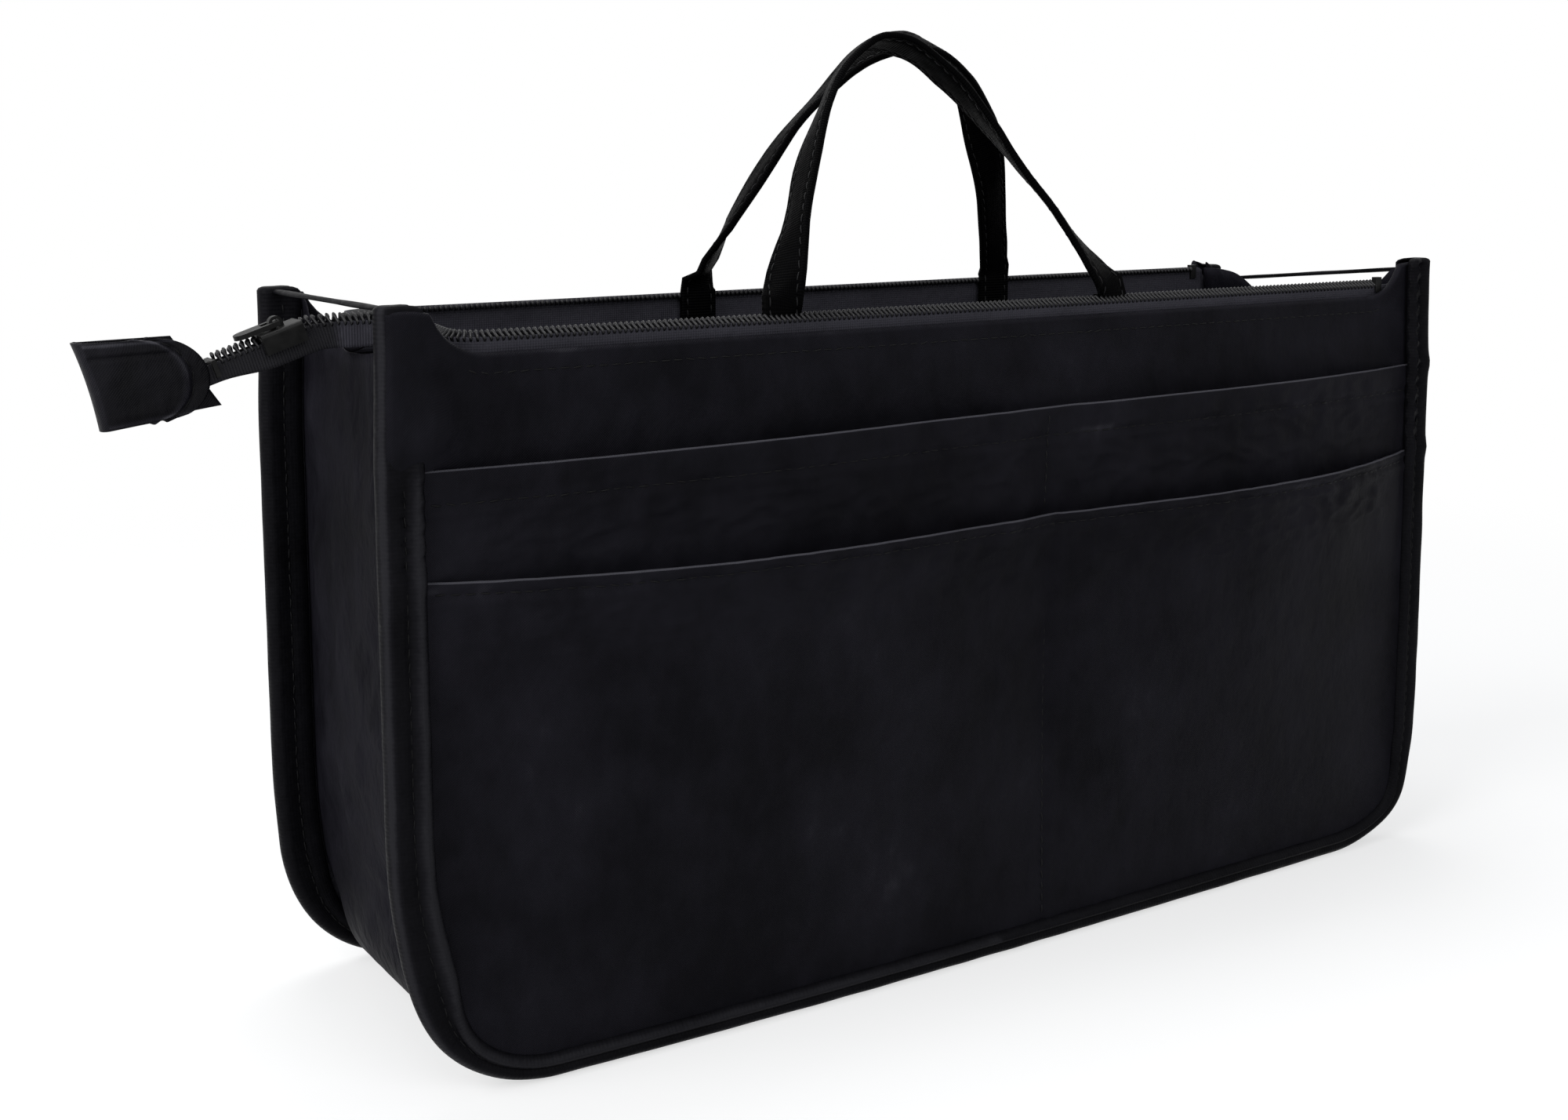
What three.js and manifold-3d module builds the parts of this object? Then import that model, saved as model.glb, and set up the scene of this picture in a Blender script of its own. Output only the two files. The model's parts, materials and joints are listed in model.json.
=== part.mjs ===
// Purse organizer insert: a soft nylon box with outer and inner slip pockets,
// bound seams, two strap handles and an open zipper whose tail hangs out at one end.
// Millimetres, +Z up, +X to the right seen from the front, the front faces -Y.
// The origin is the middle of the base, on the surface that the insert stands on.
import * as THREE from "three";
import { mergeVertices } from "three/addons/utils/BufferGeometryUtils.js";
import Module from "manifold-3d";

const wasm = await Module();
wasm.setup();

// Body
const bodyLength = 300; // over the side bindings
const bodyDepth = 80; // over the front and back bindings
const hornHeight = 162; // top ends of the side bindings
const hornRise = 9; // of the horns above the top edge of the front and back panels
const cornerRadius = 33; // lower corners of the panels
const edgeFillet = 8; // where a panel's top edge rises into a horn

// Cloth plies, from the outside of a panel to its inside
const ply = 0.5; // pocket, shell and gusset cloth
const plyGap = 0.15; // play between stacked plies
const stiffenerThickness = 1;
const stiffenerMargin = 11; // kept out of the seams
const liningPly = 0.4;
const bindingPly = 0.7;
const bindingWidth = 9; // bound seam at the sides
const bindingFoot = 6; // bound seam along the base
const hornRound = 2; // rounding of a horn's outer top corner

// Outer pockets
const tallMouth = 132; // height of the tall pockets' mouths
const shortMouth = 108; // height of the short pockets' mouths
const dividerOffset = 13; // sewn divider, to the right of the middle
const tallGape = 6; // how far a mouth stands open
const shortGape = 6;
const pocketPlay = 0.4; // between the short pocket and the tall one behind it
const seamPlay = 0.5; // from the binding to where a pocket starts to swell

// Inner pockets
const innerPocketWidth = 236;
const innerPocketFoot = 12; // height of its lower seam
const innerPocketMouth = 112;
const innerPocketGape = 5.5;
const innerPocketSeam = 4; // sewn rim

// Gusset
const gussetPlay = 0.3; // between the gusset and the bindings
const gussetBulge = 1.5; // outward swell of the sides
const gussetDip = 16; // dip of the top edge, halfway between the horns
const gussetRim = 2.5; // of the top edge at the bindings, below the horn tops
const baseFlat = 24; // half width of the flat strip that the base stands on
const tieWidth = 2; // narrow tape that ties the two horns of an end
const tieThickness = 1;
const tieInset = 3.5; // from the end of the body
const tieDrop = 0.5; // below the horn tops
const leftTieSag = 0.2;
const rightTieSag = 4;

// Zipper
const tapeThickness = 0.6;
const tapeWidth = 9;
const toothPitch = 2.6;
const toothHalfWidth = 0.6;
const toothHeight = 2;
const toothNotch = 0.8;
const toothRise = 3; // foot of the teeth above the panel's top edge
const zipMargin = 18; // from the last tooth to the right end of the body
const tapeEnd = 6; // tape past the last tooth
const stopLength = 2.2;
const linkBend = 8; // radius where a tape turns in from the panel and out to the tail
const linkInset = 17; // from the left end of the body to the tape that crosses inside it
const linkRise = 1.7; // of the tape, from the panel to the tail
const linkTaper = 3.5; // narrowing of the tape on the way
const lapOffset = 2.5; // of each tape from the middle plane at the tail

// Zipper tail, in its own frame: along the chain and square to it
const tailInset = 4; // from the left end of the body to the bend of the tail
const tailDroop = 18.5; // degrees below level
const tailLap = 6; // tape of the tail past the bend, between the tapes of the body
const tailLength = 25.5; // from the bend to the tab
const tailGap = 1; // on each side of the bend, where the chain is free to fold
const tailTapeOffset = 1.55; // of each leaf from the middle plane
const chainHalfWidth = 2.4;
const chainFoot = 1.6; // underside of the chain above the bend
const leafDrop = 3; // lower edge of a leaf below the bend
const neckDrop = 1.2; // the same at the tab
const stopPlate = 0.9; // bottom stop at the end of the chain

// Folded end tab
const tabLength = 23;
const tabRootHeight = 15.5;
const tabEndHeight = 18.7;
const tabRise = 1.3; // middle of the tab's root above the bend line
const tabLift = 5.5; // degrees that the tab turns up from the chain
const tabSlant = 3.2; // middle of the tab's end above its root
const tabCloth = 0.7;
const tabRound = 6; // rounded end of the front leaf
const tabGrip = 9; // length of tape held inside the tab

// Slider and puller
const sliderPlace = 11; // middle of the slider past the bend, where the open halves come together
const sliderLength = 9;
const sliderWall = 0.9;
const sliderPlate = 0.8;
const sliderPlay = 0.3;
const sliderLip = 0.9;
const bailRadius = 0.9; // eye that holds the puller
const bailWire = 0.6;
const bailWidth = 1.6;
const pullerPin = 0.5; // radius of the bar in the eye
const pullerLength = 9;
const pullerWidth = 4.6;
const pullerThickness = 1;
const pullerSlot = 2.6;

// Handles
const strapWidth = 10;
const strapThickness = 1.6;
const handleSpan = 95; // between the middles of a handle's feet
const handleOffset = 8.5; // of a handle's feet from the middle
const frontLeftReach = 4.4; // control points of the front strap, from the middle between its feet
const frontLeftLift = 120;
const frontRightReach = 13.8;
const frontRightLift = 47.5;
const frontLeftTwist = 0.18; // share of the rise over which a leg twists
const frontRightTwist = 0.62;
const backLeftReach = -13.7; // the same of the back strap, seen from behind
const backLeftLift = 85.3;
const backRightReach = 18.4;
const backRightLift = 92.7;
const backLeftTwist = 0.52;
const backRightTwist = 0.3;
const crownPlay = 0.3; // from each crown to the middle plane, where the two handles meet
const footDepth = 33; // sewn length below the bend
const footPlay = 1.1; // between a sewn foot and the bend above it
const strapStart = 0.2; // from the bend to the free strap
const bendClearance = 1.5; // height of the bend above the teeth

// Depths below the outer plane of a binding, ply by ply
const shortFace = bindingPly + plyGap;
const tallFace = shortFace + ply + plyGap;
const shellFace = tallFace + ply + plyGap;
const stiffenerFace = shellFace + ply + plyGap;
const liningFace = stiffenerFace + stiffenerThickness + plyGap;
const liningBack = liningFace + liningPly;
const flangeFace = liningBack + plyGap;
const bindingThickness = flangeFace + ply + plyGap + bindingPly;
const tapeMiddle = liningBack + plyGap + tapeThickness / 2;
const footFace = tapeMiddle + toothHalfWidth + plyGap;

// Places that several pieces share
const halfLength = bodyLength / 2;
const halfDepth = bodyDepth / 2;
const panelHeight = hornHeight - hornRise;
const seamInset = bindingPly + plyGap;
const bindingEdge = halfLength - bindingWidth;
const innerRadius = cornerRadius - bindingFoot;
const toothFoot = panelHeight + toothRise;
const tapeY = halfDepth - tapeMiddle;
const linkX = -halfLength + linkInset;
const bendX = -halfLength + tailInset;
const tapeLevel = toothFoot - plyGap;
const bendZ = tapeLevel + linkRise - chainFoot;
const handleBendY = halfDepth - footFace - strapThickness / 2;
const handleBendZ = toothFoot + toothHeight + bendClearance;

// Shapes of the two straps: the control points of each leg, and how fast it twists.
const frontStrap = {
  left: new THREE.Vector2(frontLeftReach, frontLeftLift),
  right: new THREE.Vector2(frontRightReach, frontRightLift),
  twists: [frontLeftTwist, frontRightTwist],
};
const backStrap = {
  left: new THREE.Vector2(backLeftReach, backLeftLift),
  right: new THREE.Vector2(backRightReach, backRightLift),
  twists: [backLeftTwist, backRightTwist],
};

const cloth = (color, roughness) => new THREE.MeshStandardMaterial({ color, roughness, metalness: 0 });
const nylon = cloth(0x15151a, 0.55);
const gussetNylon = cloth(0x1d1d23, 0.6);
const liningNylon = cloth(0x131318, 0.6);
const foam = cloth(0x3a3a3c, 0.9);
const bindingTape = cloth(0x0b0b0e, 0.75);
const webbing = cloth(0x0c0c0e, 0.7);
const coil = cloth(0x1b1b1f, 0.35);
const darkMetal = new THREE.MeshStandardMaterial({ color: 0x2a2a2e, roughness: 0.3, metalness: 0.9 });

const organizer = new THREE.Group();

function piece(parent, name, geometry, material) {
  const mesh = new THREE.Mesh(geometry, material);
  mesh.name = name;
  parent.add(mesh);
}

// A geometry as a solid that can be joined and cut, and back again.
function toSolid(geometry) {
  const bare = geometry.clone();
  bare.deleteAttribute("normal");
  bare.deleteAttribute("uv");
  const merged = mergeVertices(bare, 1e-4);
  return new wasm.Manifold(
    new wasm.Mesh({
      numProp: 3,
      vertProperties: new Float32Array(merged.attributes.position.array),
      triVerts: new Uint32Array(merged.index.array),
    }),
  );
}

function toGeometry(solid) {
  const { vertProperties, triVerts } = solid.getMesh();
  const geometry = new THREE.BufferGeometry();
  geometry.setAttribute("position", new THREE.BufferAttribute(new Float32Array(vertProperties), 3));
  geometry.setIndex(new THREE.BufferAttribute(new Uint32Array(triVerts), 1));
  return geometry;
}

// A profile drawn in x and z, extruded backwards from y = from.
function alongY(shape, from, thickness, curveSegments = 8) {
  const geometry = new THREE.ExtrudeGeometry(shape, { depth: thickness, bevelEnabled: false, curveSegments });
  return geometry.rotateX(Math.PI / 2).translate(0, from + thickness, 0);
}

// A profile drawn in y and z, extruded to the right from x = from.
function alongX(shape, from, reach, curveSegments = 8) {
  const geometry = new THREE.ExtrudeGeometry(shape, { depth: reach, bevelEnabled: false, curveSegments });
  const turn = new THREE.Matrix4().makeBasis(
    new THREE.Vector3(0, 1, 0),
    new THREE.Vector3(0, 0, 1),
    new THREE.Vector3(1, 0, 0),
  );
  return geometry.applyMatrix4(turn).translate(from, 0, 0);
}

// A closed sheet between two faces, each given as rows of points.
function sheet(faceA, faceB) {
  const rows = faceA.length;
  const columns = faceA[0].length;
  const points = [...faceA.flat(), ...faceB.flat()];
  const at = (face, row, column) => (face * rows + row) * columns + column;
  const index = [];
  const quad = (a, b, c, d) => index.push(a, b, c, a, c, d);
  const lastRow = rows - 1;
  const lastColumn = columns - 1;
  for (let r = 0; r < lastRow; r++) {
    for (let c = 0; c < lastColumn; c++) {
      quad(at(0, r, c), at(0, r, c + 1), at(0, r + 1, c + 1), at(0, r + 1, c));
      quad(at(1, r, c), at(1, r + 1, c), at(1, r + 1, c + 1), at(1, r, c + 1));
    }
    quad(at(0, r, 0), at(0, r + 1, 0), at(1, r + 1, 0), at(1, r, 0));
    quad(at(0, r, lastColumn), at(1, r, lastColumn), at(1, r + 1, lastColumn), at(0, r + 1, lastColumn));
  }
  for (let c = 0; c < lastColumn; c++) {
    quad(at(0, 0, c), at(1, 0, c), at(1, 0, c + 1), at(0, 0, c + 1));
    quad(at(0, lastRow, c), at(0, lastRow, c + 1), at(1, lastRow, c + 1), at(1, lastRow, c));
  }
  // Faces point out where face A lies ahead of face B.
  const across = points[at(0, 0, 1)].clone().sub(points[0]);
  const down = points[at(0, 1, 0)].clone().sub(points[0]);
  const outwards = points[0].clone().sub(points[at(1, 0, 0)]);
  if (across.cross(down).dot(outwards) < 0) index.reverse();
  const geometry = new THREE.BufferGeometry().setFromPoints(points);
  return geometry.setIndex(index);
}

const smooth = (share) => THREE.MathUtils.smoothstep(share, 0, 1);

// Outline of a panel, inset all round, with its top edge filleted up into the horns.
function panelShape(inset, topEdge) {
  const half = halfLength - inset;
  const radius = cornerRadius - inset;
  const top = hornHeight - inset;
  const fillet = Math.min(edgeFillet, top - topEdge);
  const shape = new THREE.Shape();
  shape.moveTo(-half + radius, inset);
  shape.lineTo(half - radius, inset);
  shape.absarc(half - radius, inset + radius, radius, -Math.PI / 2, 0, false);
  shape.lineTo(half, top - hornRound);
  shape.lineTo(half - hornRound, top);
  shape.lineTo(bindingEdge, top);
  shape.absarc(bindingEdge - fillet, topEdge + fillet, fillet, 0, -Math.PI / 2, true);
  shape.lineTo(-bindingEdge + fillet, topEdge);
  shape.absarc(-bindingEdge + fillet, topEdge + fillet, fillet, -Math.PI / 2, -Math.PI, true);
  shape.lineTo(-bindingEdge, top);
  shape.lineTo(-half + hornRound, top);
  shape.lineTo(-half, top - hornRound);
  shape.lineTo(-half, inset + radius);
  shape.absarc(-half + radius, inset + radius, radius, Math.PI, 1.5 * Math.PI, false);
  return shape;
}

// U-shaped band along the sides and base: its outer edge inset, its inner edge pushed further in by reach.
function bandShape(inset, reach) {
  const half = halfLength - inset;
  const radius = cornerRadius - inset;
  const top = hornHeight - inset;
  const edge = bindingEdge - reach;
  const foot = bindingFoot + reach;
  const shape = new THREE.Shape();
  shape.moveTo(-half, top - hornRound);
  shape.lineTo(-half, inset + radius);
  shape.absarc(-half + radius, inset + radius, radius, Math.PI, 1.5 * Math.PI, false);
  shape.lineTo(half - radius, inset);
  shape.absarc(half - radius, inset + radius, radius, -Math.PI / 2, 0, false);
  shape.lineTo(half, top - hornRound);
  shape.absarc(half - hornRound, top - hornRound, hornRound, 0, Math.PI / 2, false);
  shape.lineTo(edge, top);
  shape.lineTo(edge, foot + innerRadius);
  shape.absarc(edge - innerRadius, foot + innerRadius, innerRadius, 0, -Math.PI / 2, true);
  shape.lineTo(-edge + innerRadius, foot);
  shape.absarc(-edge + innerRadius, foot + innerRadius, innerRadius, -Math.PI / 2, -Math.PI, true);
  shape.lineTo(-edge, top);
  shape.lineTo(-half + hornRound, top);
  shape.absarc(-half + hornRound, top - hornRound, hornRound, Math.PI / 2, Math.PI, false);
  return shape;
}

// Half width of a seam-inset panel at a height: it narrows in the round lower corners.
function halfWidthAt(z) {
  const radius = cornerRadius - seamInset;
  const below = Math.max(0, cornerRadius - z);
  return halfLength - cornerRadius + Math.sqrt(Math.max(0, radius * radius - below * below));
}

// Half width and foot of the cloth that shows inside the binding, where a pocket is free to swell.
const openFoot = bindingFoot + seamPlay;
function openHalfAt(z) {
  const below = Math.max(0, cornerRadius - z);
  const round = Math.sqrt(Math.max(0, innerRadius * innerRadius - below * below));
  return bindingEdge - innerRadius + round - seamPlay;
}

// Swell of a slip pocket: none at its sides, divider and foot, most at the mouth of each half.
const bellyAcross = (share) => 1 - (2 * share - 1) ** 2;
const bellyUp = (share) => share ** 1.2;

// Swell of an outer pocket at a point, 0 to 1.
function swellAt(x, z, mouth) {
  const side = openHalfAt(z);
  const share = x < dividerOffset ? (x + side) / (dividerOffset + side) : (side - x) / (side - dividerOffset);
  if (share <= 0 || z <= openFoot) return 0;
  return bellyAcross(share) * bellyUp((z - openFoot) / (mouth - openFoot));
}

// A pocket's rows of points: place(x, z) is called from its left seam to its right, from foot to mouth.
function pocketGrid(foot, open, mouth, seamHalf, openHalf, divider, place) {
  const heights = [0, 0.08, 0.22, 0.45, 0.7, 1].map((share) => open + share * (mouth - open));
  const steps = [0, 0.06, 0.2, 0.4, 0.6, 0.8, 0.94];
  return [foot, ...heights].map((z) => {
    const edge = openHalf(z);
    const left = steps.map((s) => -edge + s * (divider + edge));
    const right = steps.map((s) => edge - s * (edge - divider)).reverse();
    const across = [-seamHalf(z), ...left, divider, ...right, seamHalf(z)];
    return across.map((x) => place(x, z));
  });
}

// An outer pocket ply, from its depth below the binding's outer plane.
function outerPocket(mouth, depthAt) {
  const face = (extra) =>
    pocketGrid(seamInset, openFoot, mouth, halfWidthAt, openHalfAt, dividerOffset, (x, z) => {
      return new THREE.Vector3(x, -halfDepth + depthAt(x, z) + extra, z);
    });
  return sheet(face(0), face(ply));
}

// An inner pocket: a sewn rim, then the same swell, towards the inside of the body.
function innerPocket(back) {
  const rim = innerPocketWidth / 2;
  const open = rim - innerPocketSeam;
  const foot = innerPocketFoot + innerPocketSeam;
  const face = (extra) =>
    pocketGrid(innerPocketFoot, foot, innerPocketMouth, () => rim, () => open, 0, (x, z) => {
      const share = Math.max(0, 1 - Math.abs(x) / open);
      const swell = bellyAcross(share) * bellyUp(Math.max(0, z - foot) / (innerPocketMouth - foot));
      return new THREE.Vector3(x, back + extra + innerPocketGape * swell, z);
    });
  return sheet(face(0), face(liningPly));
}

// One side of the body: panel plies, pockets, binding and the sewn feet of its handle.
function bodySide(prefix, turn, strap) {
  const side = new THREE.Group();
  side.rotation.z = turn;
  organizer.add(side);

  const shell = panelShape(seamInset, panelHeight);
  piece(side, prefix + "_panel_shell", alongY(shell, -halfDepth + shellFace, ply), nylon);
  piece(side, prefix + "_panel_lining", alongY(shell, -halfDepth + liningFace, liningPly), liningNylon);
  const board = stiffenerShape();
  piece(side, prefix + "_panel_stiffener", alongY(board, -halfDepth + stiffenerFace, stiffenerThickness), foam);

  const tallDepth = (x, z) => tallFace - tallGape * swellAt(x, z, tallMouth);
  const shortDepth = (x, z) => {
    const behind = tallGape * swellAt(x, z, tallMouth);
    return shortFace - behind - Math.min(pocketPlay, behind) - shortGape * swellAt(x, z, shortMouth);
  };
  piece(side, prefix + "_tall_pocket", outerPocket(tallMouth, tallDepth), nylon);
  piece(side, prefix + "_short_pocket", outerPocket(shortMouth, shortDepth), nylon);
  piece(side, prefix + "_inner_pocket", innerPocket(-halfDepth + liningBack + plyGap), liningNylon);

  const band = toSolid(alongY(bandShape(0, 0), -halfDepth, bindingThickness));
  const slotDepth = bindingThickness - 2 * bindingPly;
  const slot = toSolid(alongY(bandShape(bindingPly, 1), -halfDepth + bindingPly, slotDepth));
  piece(side, prefix + "_edge_binding", toGeometry(band.subtract(slot)), bindingTape);

  for (const [name, sign] of [["left", -1], ["right", 1]]) {
    const foot = new THREE.BoxGeometry(strapWidth, strapThickness, footDepth);
    const x = -handleOffset + (sign * handleSpan) / 2;
    foot.translate(x, -handleBendY, handleBendZ - footPlay - footDepth / 2);
    piece(side, prefix + "_handle_foot_" + name, foot, webbing);
  }
  piece(side, prefix + "_handle", strapArch(strap), webbing);
}

function stiffenerShape() {
  const half = halfLength - stiffenerMargin;
  const radius = cornerRadius - stiffenerMargin;
  const top = panelHeight - stiffenerMargin / 2;
  const shape = new THREE.Shape();
  shape.moveTo(-half, top);
  shape.absarc(-half + radius, stiffenerMargin + radius, radius, Math.PI, 1.5 * Math.PI, false);
  shape.absarc(half - radius, stiffenerMargin + radius, radius, -Math.PI / 2, 0, false);
  shape.lineTo(half, top);
  return shape;
}

// Lean of a strap, at which the inner edge of its crown just reaches the middle plane.
function leanOf(rise) {
  const reach = rise + strapThickness / 2;
  const room = (handleBendY - crownPlay) / Math.hypot(reach, strapWidth / 2);
  return Math.asin(room) - Math.atan2(strapWidth / 2, reach);
}

// The free strap of a handle: flat against the panel at its feet, then twisted to lie flat over the crown.
function strapArch({ left, right, twists }) {
  const arch = new THREE.CubicBezierCurve(
    new THREE.Vector2(-handleSpan / 2, strapStart),
    left,
    right,
    new THREE.Vector2(handleSpan / 2, strapStart),
  );
  const stations = 40;
  const points = arch.getPoints(stations);
  const rise = Math.max(...points.map((point) => point.y));
  const crown = points.findIndex((point) => point.y === rise);
  const lean = leanOf(rise);
  const foot = new THREE.Vector3(-handleOffset, -handleBendY, handleBendZ);
  const up = new THREE.Vector3(0, Math.sin(lean), Math.cos(lean));
  const across = new THREE.Vector3(0, Math.cos(lean), -Math.sin(lean));
  const along = new THREE.Vector3(1, 0, 0);
  const top = [];
  const bottom = [];
  points.forEach((point, i) => {
    const slope = arch.getTangent(i / stations);
    const atEnd = i === 0 || i === stations;
    const outwards = atEnd ? along.clone().multiplyScalar(i === 0 ? -1 : 1) : normalOf(slope, along, up);
    const twist = (Math.PI / 2) * (1 - smooth(point.y / rise / twists[i <= crown ? 0 : 1]));
    const wide = across.clone().multiplyScalar(Math.cos(twist)).addScaledVector(outwards, Math.sin(twist));
    const thick = across.clone().multiplyScalar(-Math.sin(twist)).addScaledVector(outwards, Math.cos(twist));
    const centre = foot.clone().addScaledVector(along, point.x).addScaledVector(up, point.y);
    const corner = (w, h) =>
      centre.clone().addScaledVector(wide, (w * strapWidth) / 2).addScaledVector(thick, (h * strapThickness) / 2);
    top.push([corner(-1, 1), corner(1, 1)]);
    bottom.push([corner(-1, -1), corner(1, -1)]);
  });
  return sheet(top, bottom);
}

// Outward normal of the arch, in the plane of its strap.
function normalOf(slope, along, up) {
  return along.clone().multiplyScalar(-slope.y).addScaledVector(up, slope.x).normalize();
}

// The gusset: one strip round the ends and the base, its edges turned out as seam flanges under the bindings.
function gusset() {
  const stations = [];
  const addLeg = (sign, shares) => {
    for (const share of shares) stations.push({ sign, share, kind: "leg" });
  };
  const addArc = (sign, angles) => {
    for (const angle of angles) stations.push({ sign, angle, kind: "arc" });
  };
  const quarter = [0, 0.2, 0.4, 0.6, 0.8].map((share) => (share * Math.PI) / 2);
  addLeg(-1, [1, 0.8, 0.55, 0.25]);
  addArc(-1, quarter);
  stations.push({ sign: -1, kind: "base" }, { sign: 0, kind: "base" }, { sign: 1, kind: "base" });
  addArc(1, [...quarter].reverse());
  addLeg(1, [0.25, 0.55, 0.8, 1]);

  const flangeY = halfDepth - flangeFace;
  const webY = halfDepth - bindingThickness - gussetPlay;
  const columns = [-1, -0.87, baseFlat / webY / -1, -0.36, 0, 0.36, baseFlat / webY, 0.87, 1];
  const sagSpread = (share) => smooth(Math.min(1, (1 - Math.abs(share)) / (1 - baseFlat / webY)));
  const faces = [0, ply].map((inside) =>
    stations.map((station) => {
      const row = [];
      const flange = flangeY - ply + inside;
      row.push(gussetPoint(station, -flange, "tip", 0, 1));
      row.push(gussetPoint(station, -flange, "web", gussetPlay + inside, 1));
      for (const share of columns) {
        const swell = sagSpread(share);
        row.push(gussetPoint(station, share * webY, "web", gussetPlay + inside, Math.abs(share), swell));
      }
      row.push(gussetPoint(station, flange, "web", gussetPlay + inside, 1));
      row.push(gussetPoint(station, flange, "tip", 0, 1));
      return row;
    }),
  );
  return sheet(faces[0], faces[1]);
}

// A point of the gusset: on a flange's tip, or on its web pushed inwards, swollen out by a share of the sag.
function gussetPoint(station, y, edge, inwards, offMiddle, swell = 0) {
  const { sign, kind } = station;
  const tipInset = seamInset + gussetPlay;
  const radius = edge === "tip" ? cornerRadius - tipInset : innerRadius;
  const reach = edge === "tip" ? halfLength - tipInset : bindingEdge;
  const fullSag = bindingFoot + gussetPlay;
  if (kind === "leg") {
    const rim = edge === "tip" ? tipInset + hornRound : gussetRim + gussetDip * (1 - offMiddle * offMiddle);
    const top = hornHeight - rim;
    const z = cornerRadius + station.share * (top - cornerRadius);
    const bulge = gussetBulge * Math.sin(Math.PI * (1 - station.share)) * swell;
    return new THREE.Vector3(sign * (reach - inwards + bulge), y, z);
  }
  if (kind === "arc") {
    const turned = station.angle / (Math.PI / 2);
    const sag = fullSag * smooth(turned) * swell;
    const arm = radius - inwards + sag;
    const x = sign * (reach - radius + arm * Math.cos(station.angle));
    return new THREE.Vector3(x, y, cornerRadius - arm * Math.sin(station.angle));
  }
  const level = edge === "tip" ? tipInset : bindingFoot;
  return new THREE.Vector3(sign * (reach - radius), y, level + inwards - fullSag * swell);
}

// A narrow tape from horn to horn at one end of the body.
function tieTape(sign, sag) {
  const reach = halfDepth - bindingThickness - gussetPlay;
  const x = sign * (halfLength - tieInset);
  const faces = [0, -tieThickness].map((drop) =>
    [-1, -0.6, -0.2, 0.2, 0.6, 1].map((share) => {
      const z = hornHeight - tieDrop - sag * (1 - share * share) + drop;
      const edge = (side) => new THREE.Vector3(x + (side * tieWidth) / 2, share * reach, z);
      return [edge(-1), edge(1)];
    }),
  );
  return sheet(faces[0], faces[1]);
}

// Plan of the front half of the open zipper: along the panel, in across the end, then out to the tail.
function tapePath(start) {
  const path = new THREE.Path();
  path.moveTo(start, -tapeY);
  path.lineTo(linkX + linkBend, -tapeY);
  path.absarc(linkX + linkBend, -tapeY + linkBend, linkBend, -Math.PI / 2, -Math.PI, true);
  path.lineTo(linkX, -lapOffset - linkBend);
  path.absarc(linkX - linkBend, -lapOffset - linkBend, linkBend, 0, Math.PI / 2, false);
  path.lineTo(bendX + tailGap, -lapOffset);
  return path;
}

// Points along a plan, each with its sideways direction.
function withNormals(points) {
  return points.map((point, i) => {
    const before = points[Math.max(0, i - 1)];
    const after = points[Math.min(points.length - 1, i + 1)];
    const heading = after.clone().sub(before).normalize();
    return { point, normal: new THREE.Vector2(-heading.y, heading.x) };
  });
}

// How far a tape has come from the panel to the tail, 0 to 1.
const linkShare = (y) => smooth((tapeY - Math.abs(y)) / (tapeY - lapOffset));

function zipperHalf(prefix, mirror) {
  const start = halfLength - zipMargin;
  const at = (station, offset, z) => {
    const plan = station.point.clone().addScaledVector(station.normal, offset);
    return new THREE.Vector3(plan.x, -mirror * plan.y, z);
  };
  const tapePoints = withNormals(tapePath(start + tapeEnd).getPoints(5));
  const tapeFace = (offset) =>
    tapePoints.map((station) => {
      const share = linkShare(station.point.y);
      const top = tapeLevel + linkRise * share;
      return [at(station, offset, top - tapeWidth + linkTaper * share), at(station, offset, top)];
    });
  piece(organizer, prefix + "_zipper_tape", sheet(tapeFace(-tapeThickness / 2), tapeFace(tapeThickness / 2)), webbing);

  const path = tapePath(start);
  const halfTeeth = 2 * Math.round(path.getLength() / toothPitch);
  const toothPoints = withNormals(path.getSpacedPoints(halfTeeth));
  const toothFace = (share) =>
    toothPoints.map((station, i) => {
      const notch = i % 2 ? toothNotch : 0;
      const rise = linkRise * linkShare(station.point.y) + toothFoot;
      const half = toothHalfWidth - (notch * toothHalfWidth) / toothHeight / 2;
      const z = rise + share * (toothHeight - notch);
      return [at(station, -half, z), at(station, half, z)];
    });
  piece(organizer, prefix + "_zipper_teeth", sheet(toothFace(1), toothFace(0)), coil);

  const jaw = toothHalfWidth + plyGap;
  const grip = tapeThickness / 2 + plyGap;
  const stop = clampShape(jaw, grip, toothFoot + toothHeight, tapeLevel + plyGap, toothFoot - toothHeight);
  const clamp = alongX(stop, start + plyGap, stopLength).translate(0, mirror * tapeY, 0);
  piece(organizer, prefix + "_top_stop", clamp, darkMetal);
}

// Section of a stop that is pressed over an edge: legs from foot to top, with a slot up to the slot's top.
function clampShape(half, slotHalf, top, slotTop, foot) {
  const shape = new THREE.Shape();
  shape.moveTo(-half, foot);
  shape.lineTo(-slotHalf, foot);
  shape.lineTo(-slotHalf, slotTop);
  shape.lineTo(slotHalf, slotTop);
  shape.lineTo(slotHalf, foot);
  shape.lineTo(half, foot);
  shape.lineTo(half, top);
  shape.lineTo(-half, top);
  return shape;
}

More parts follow.
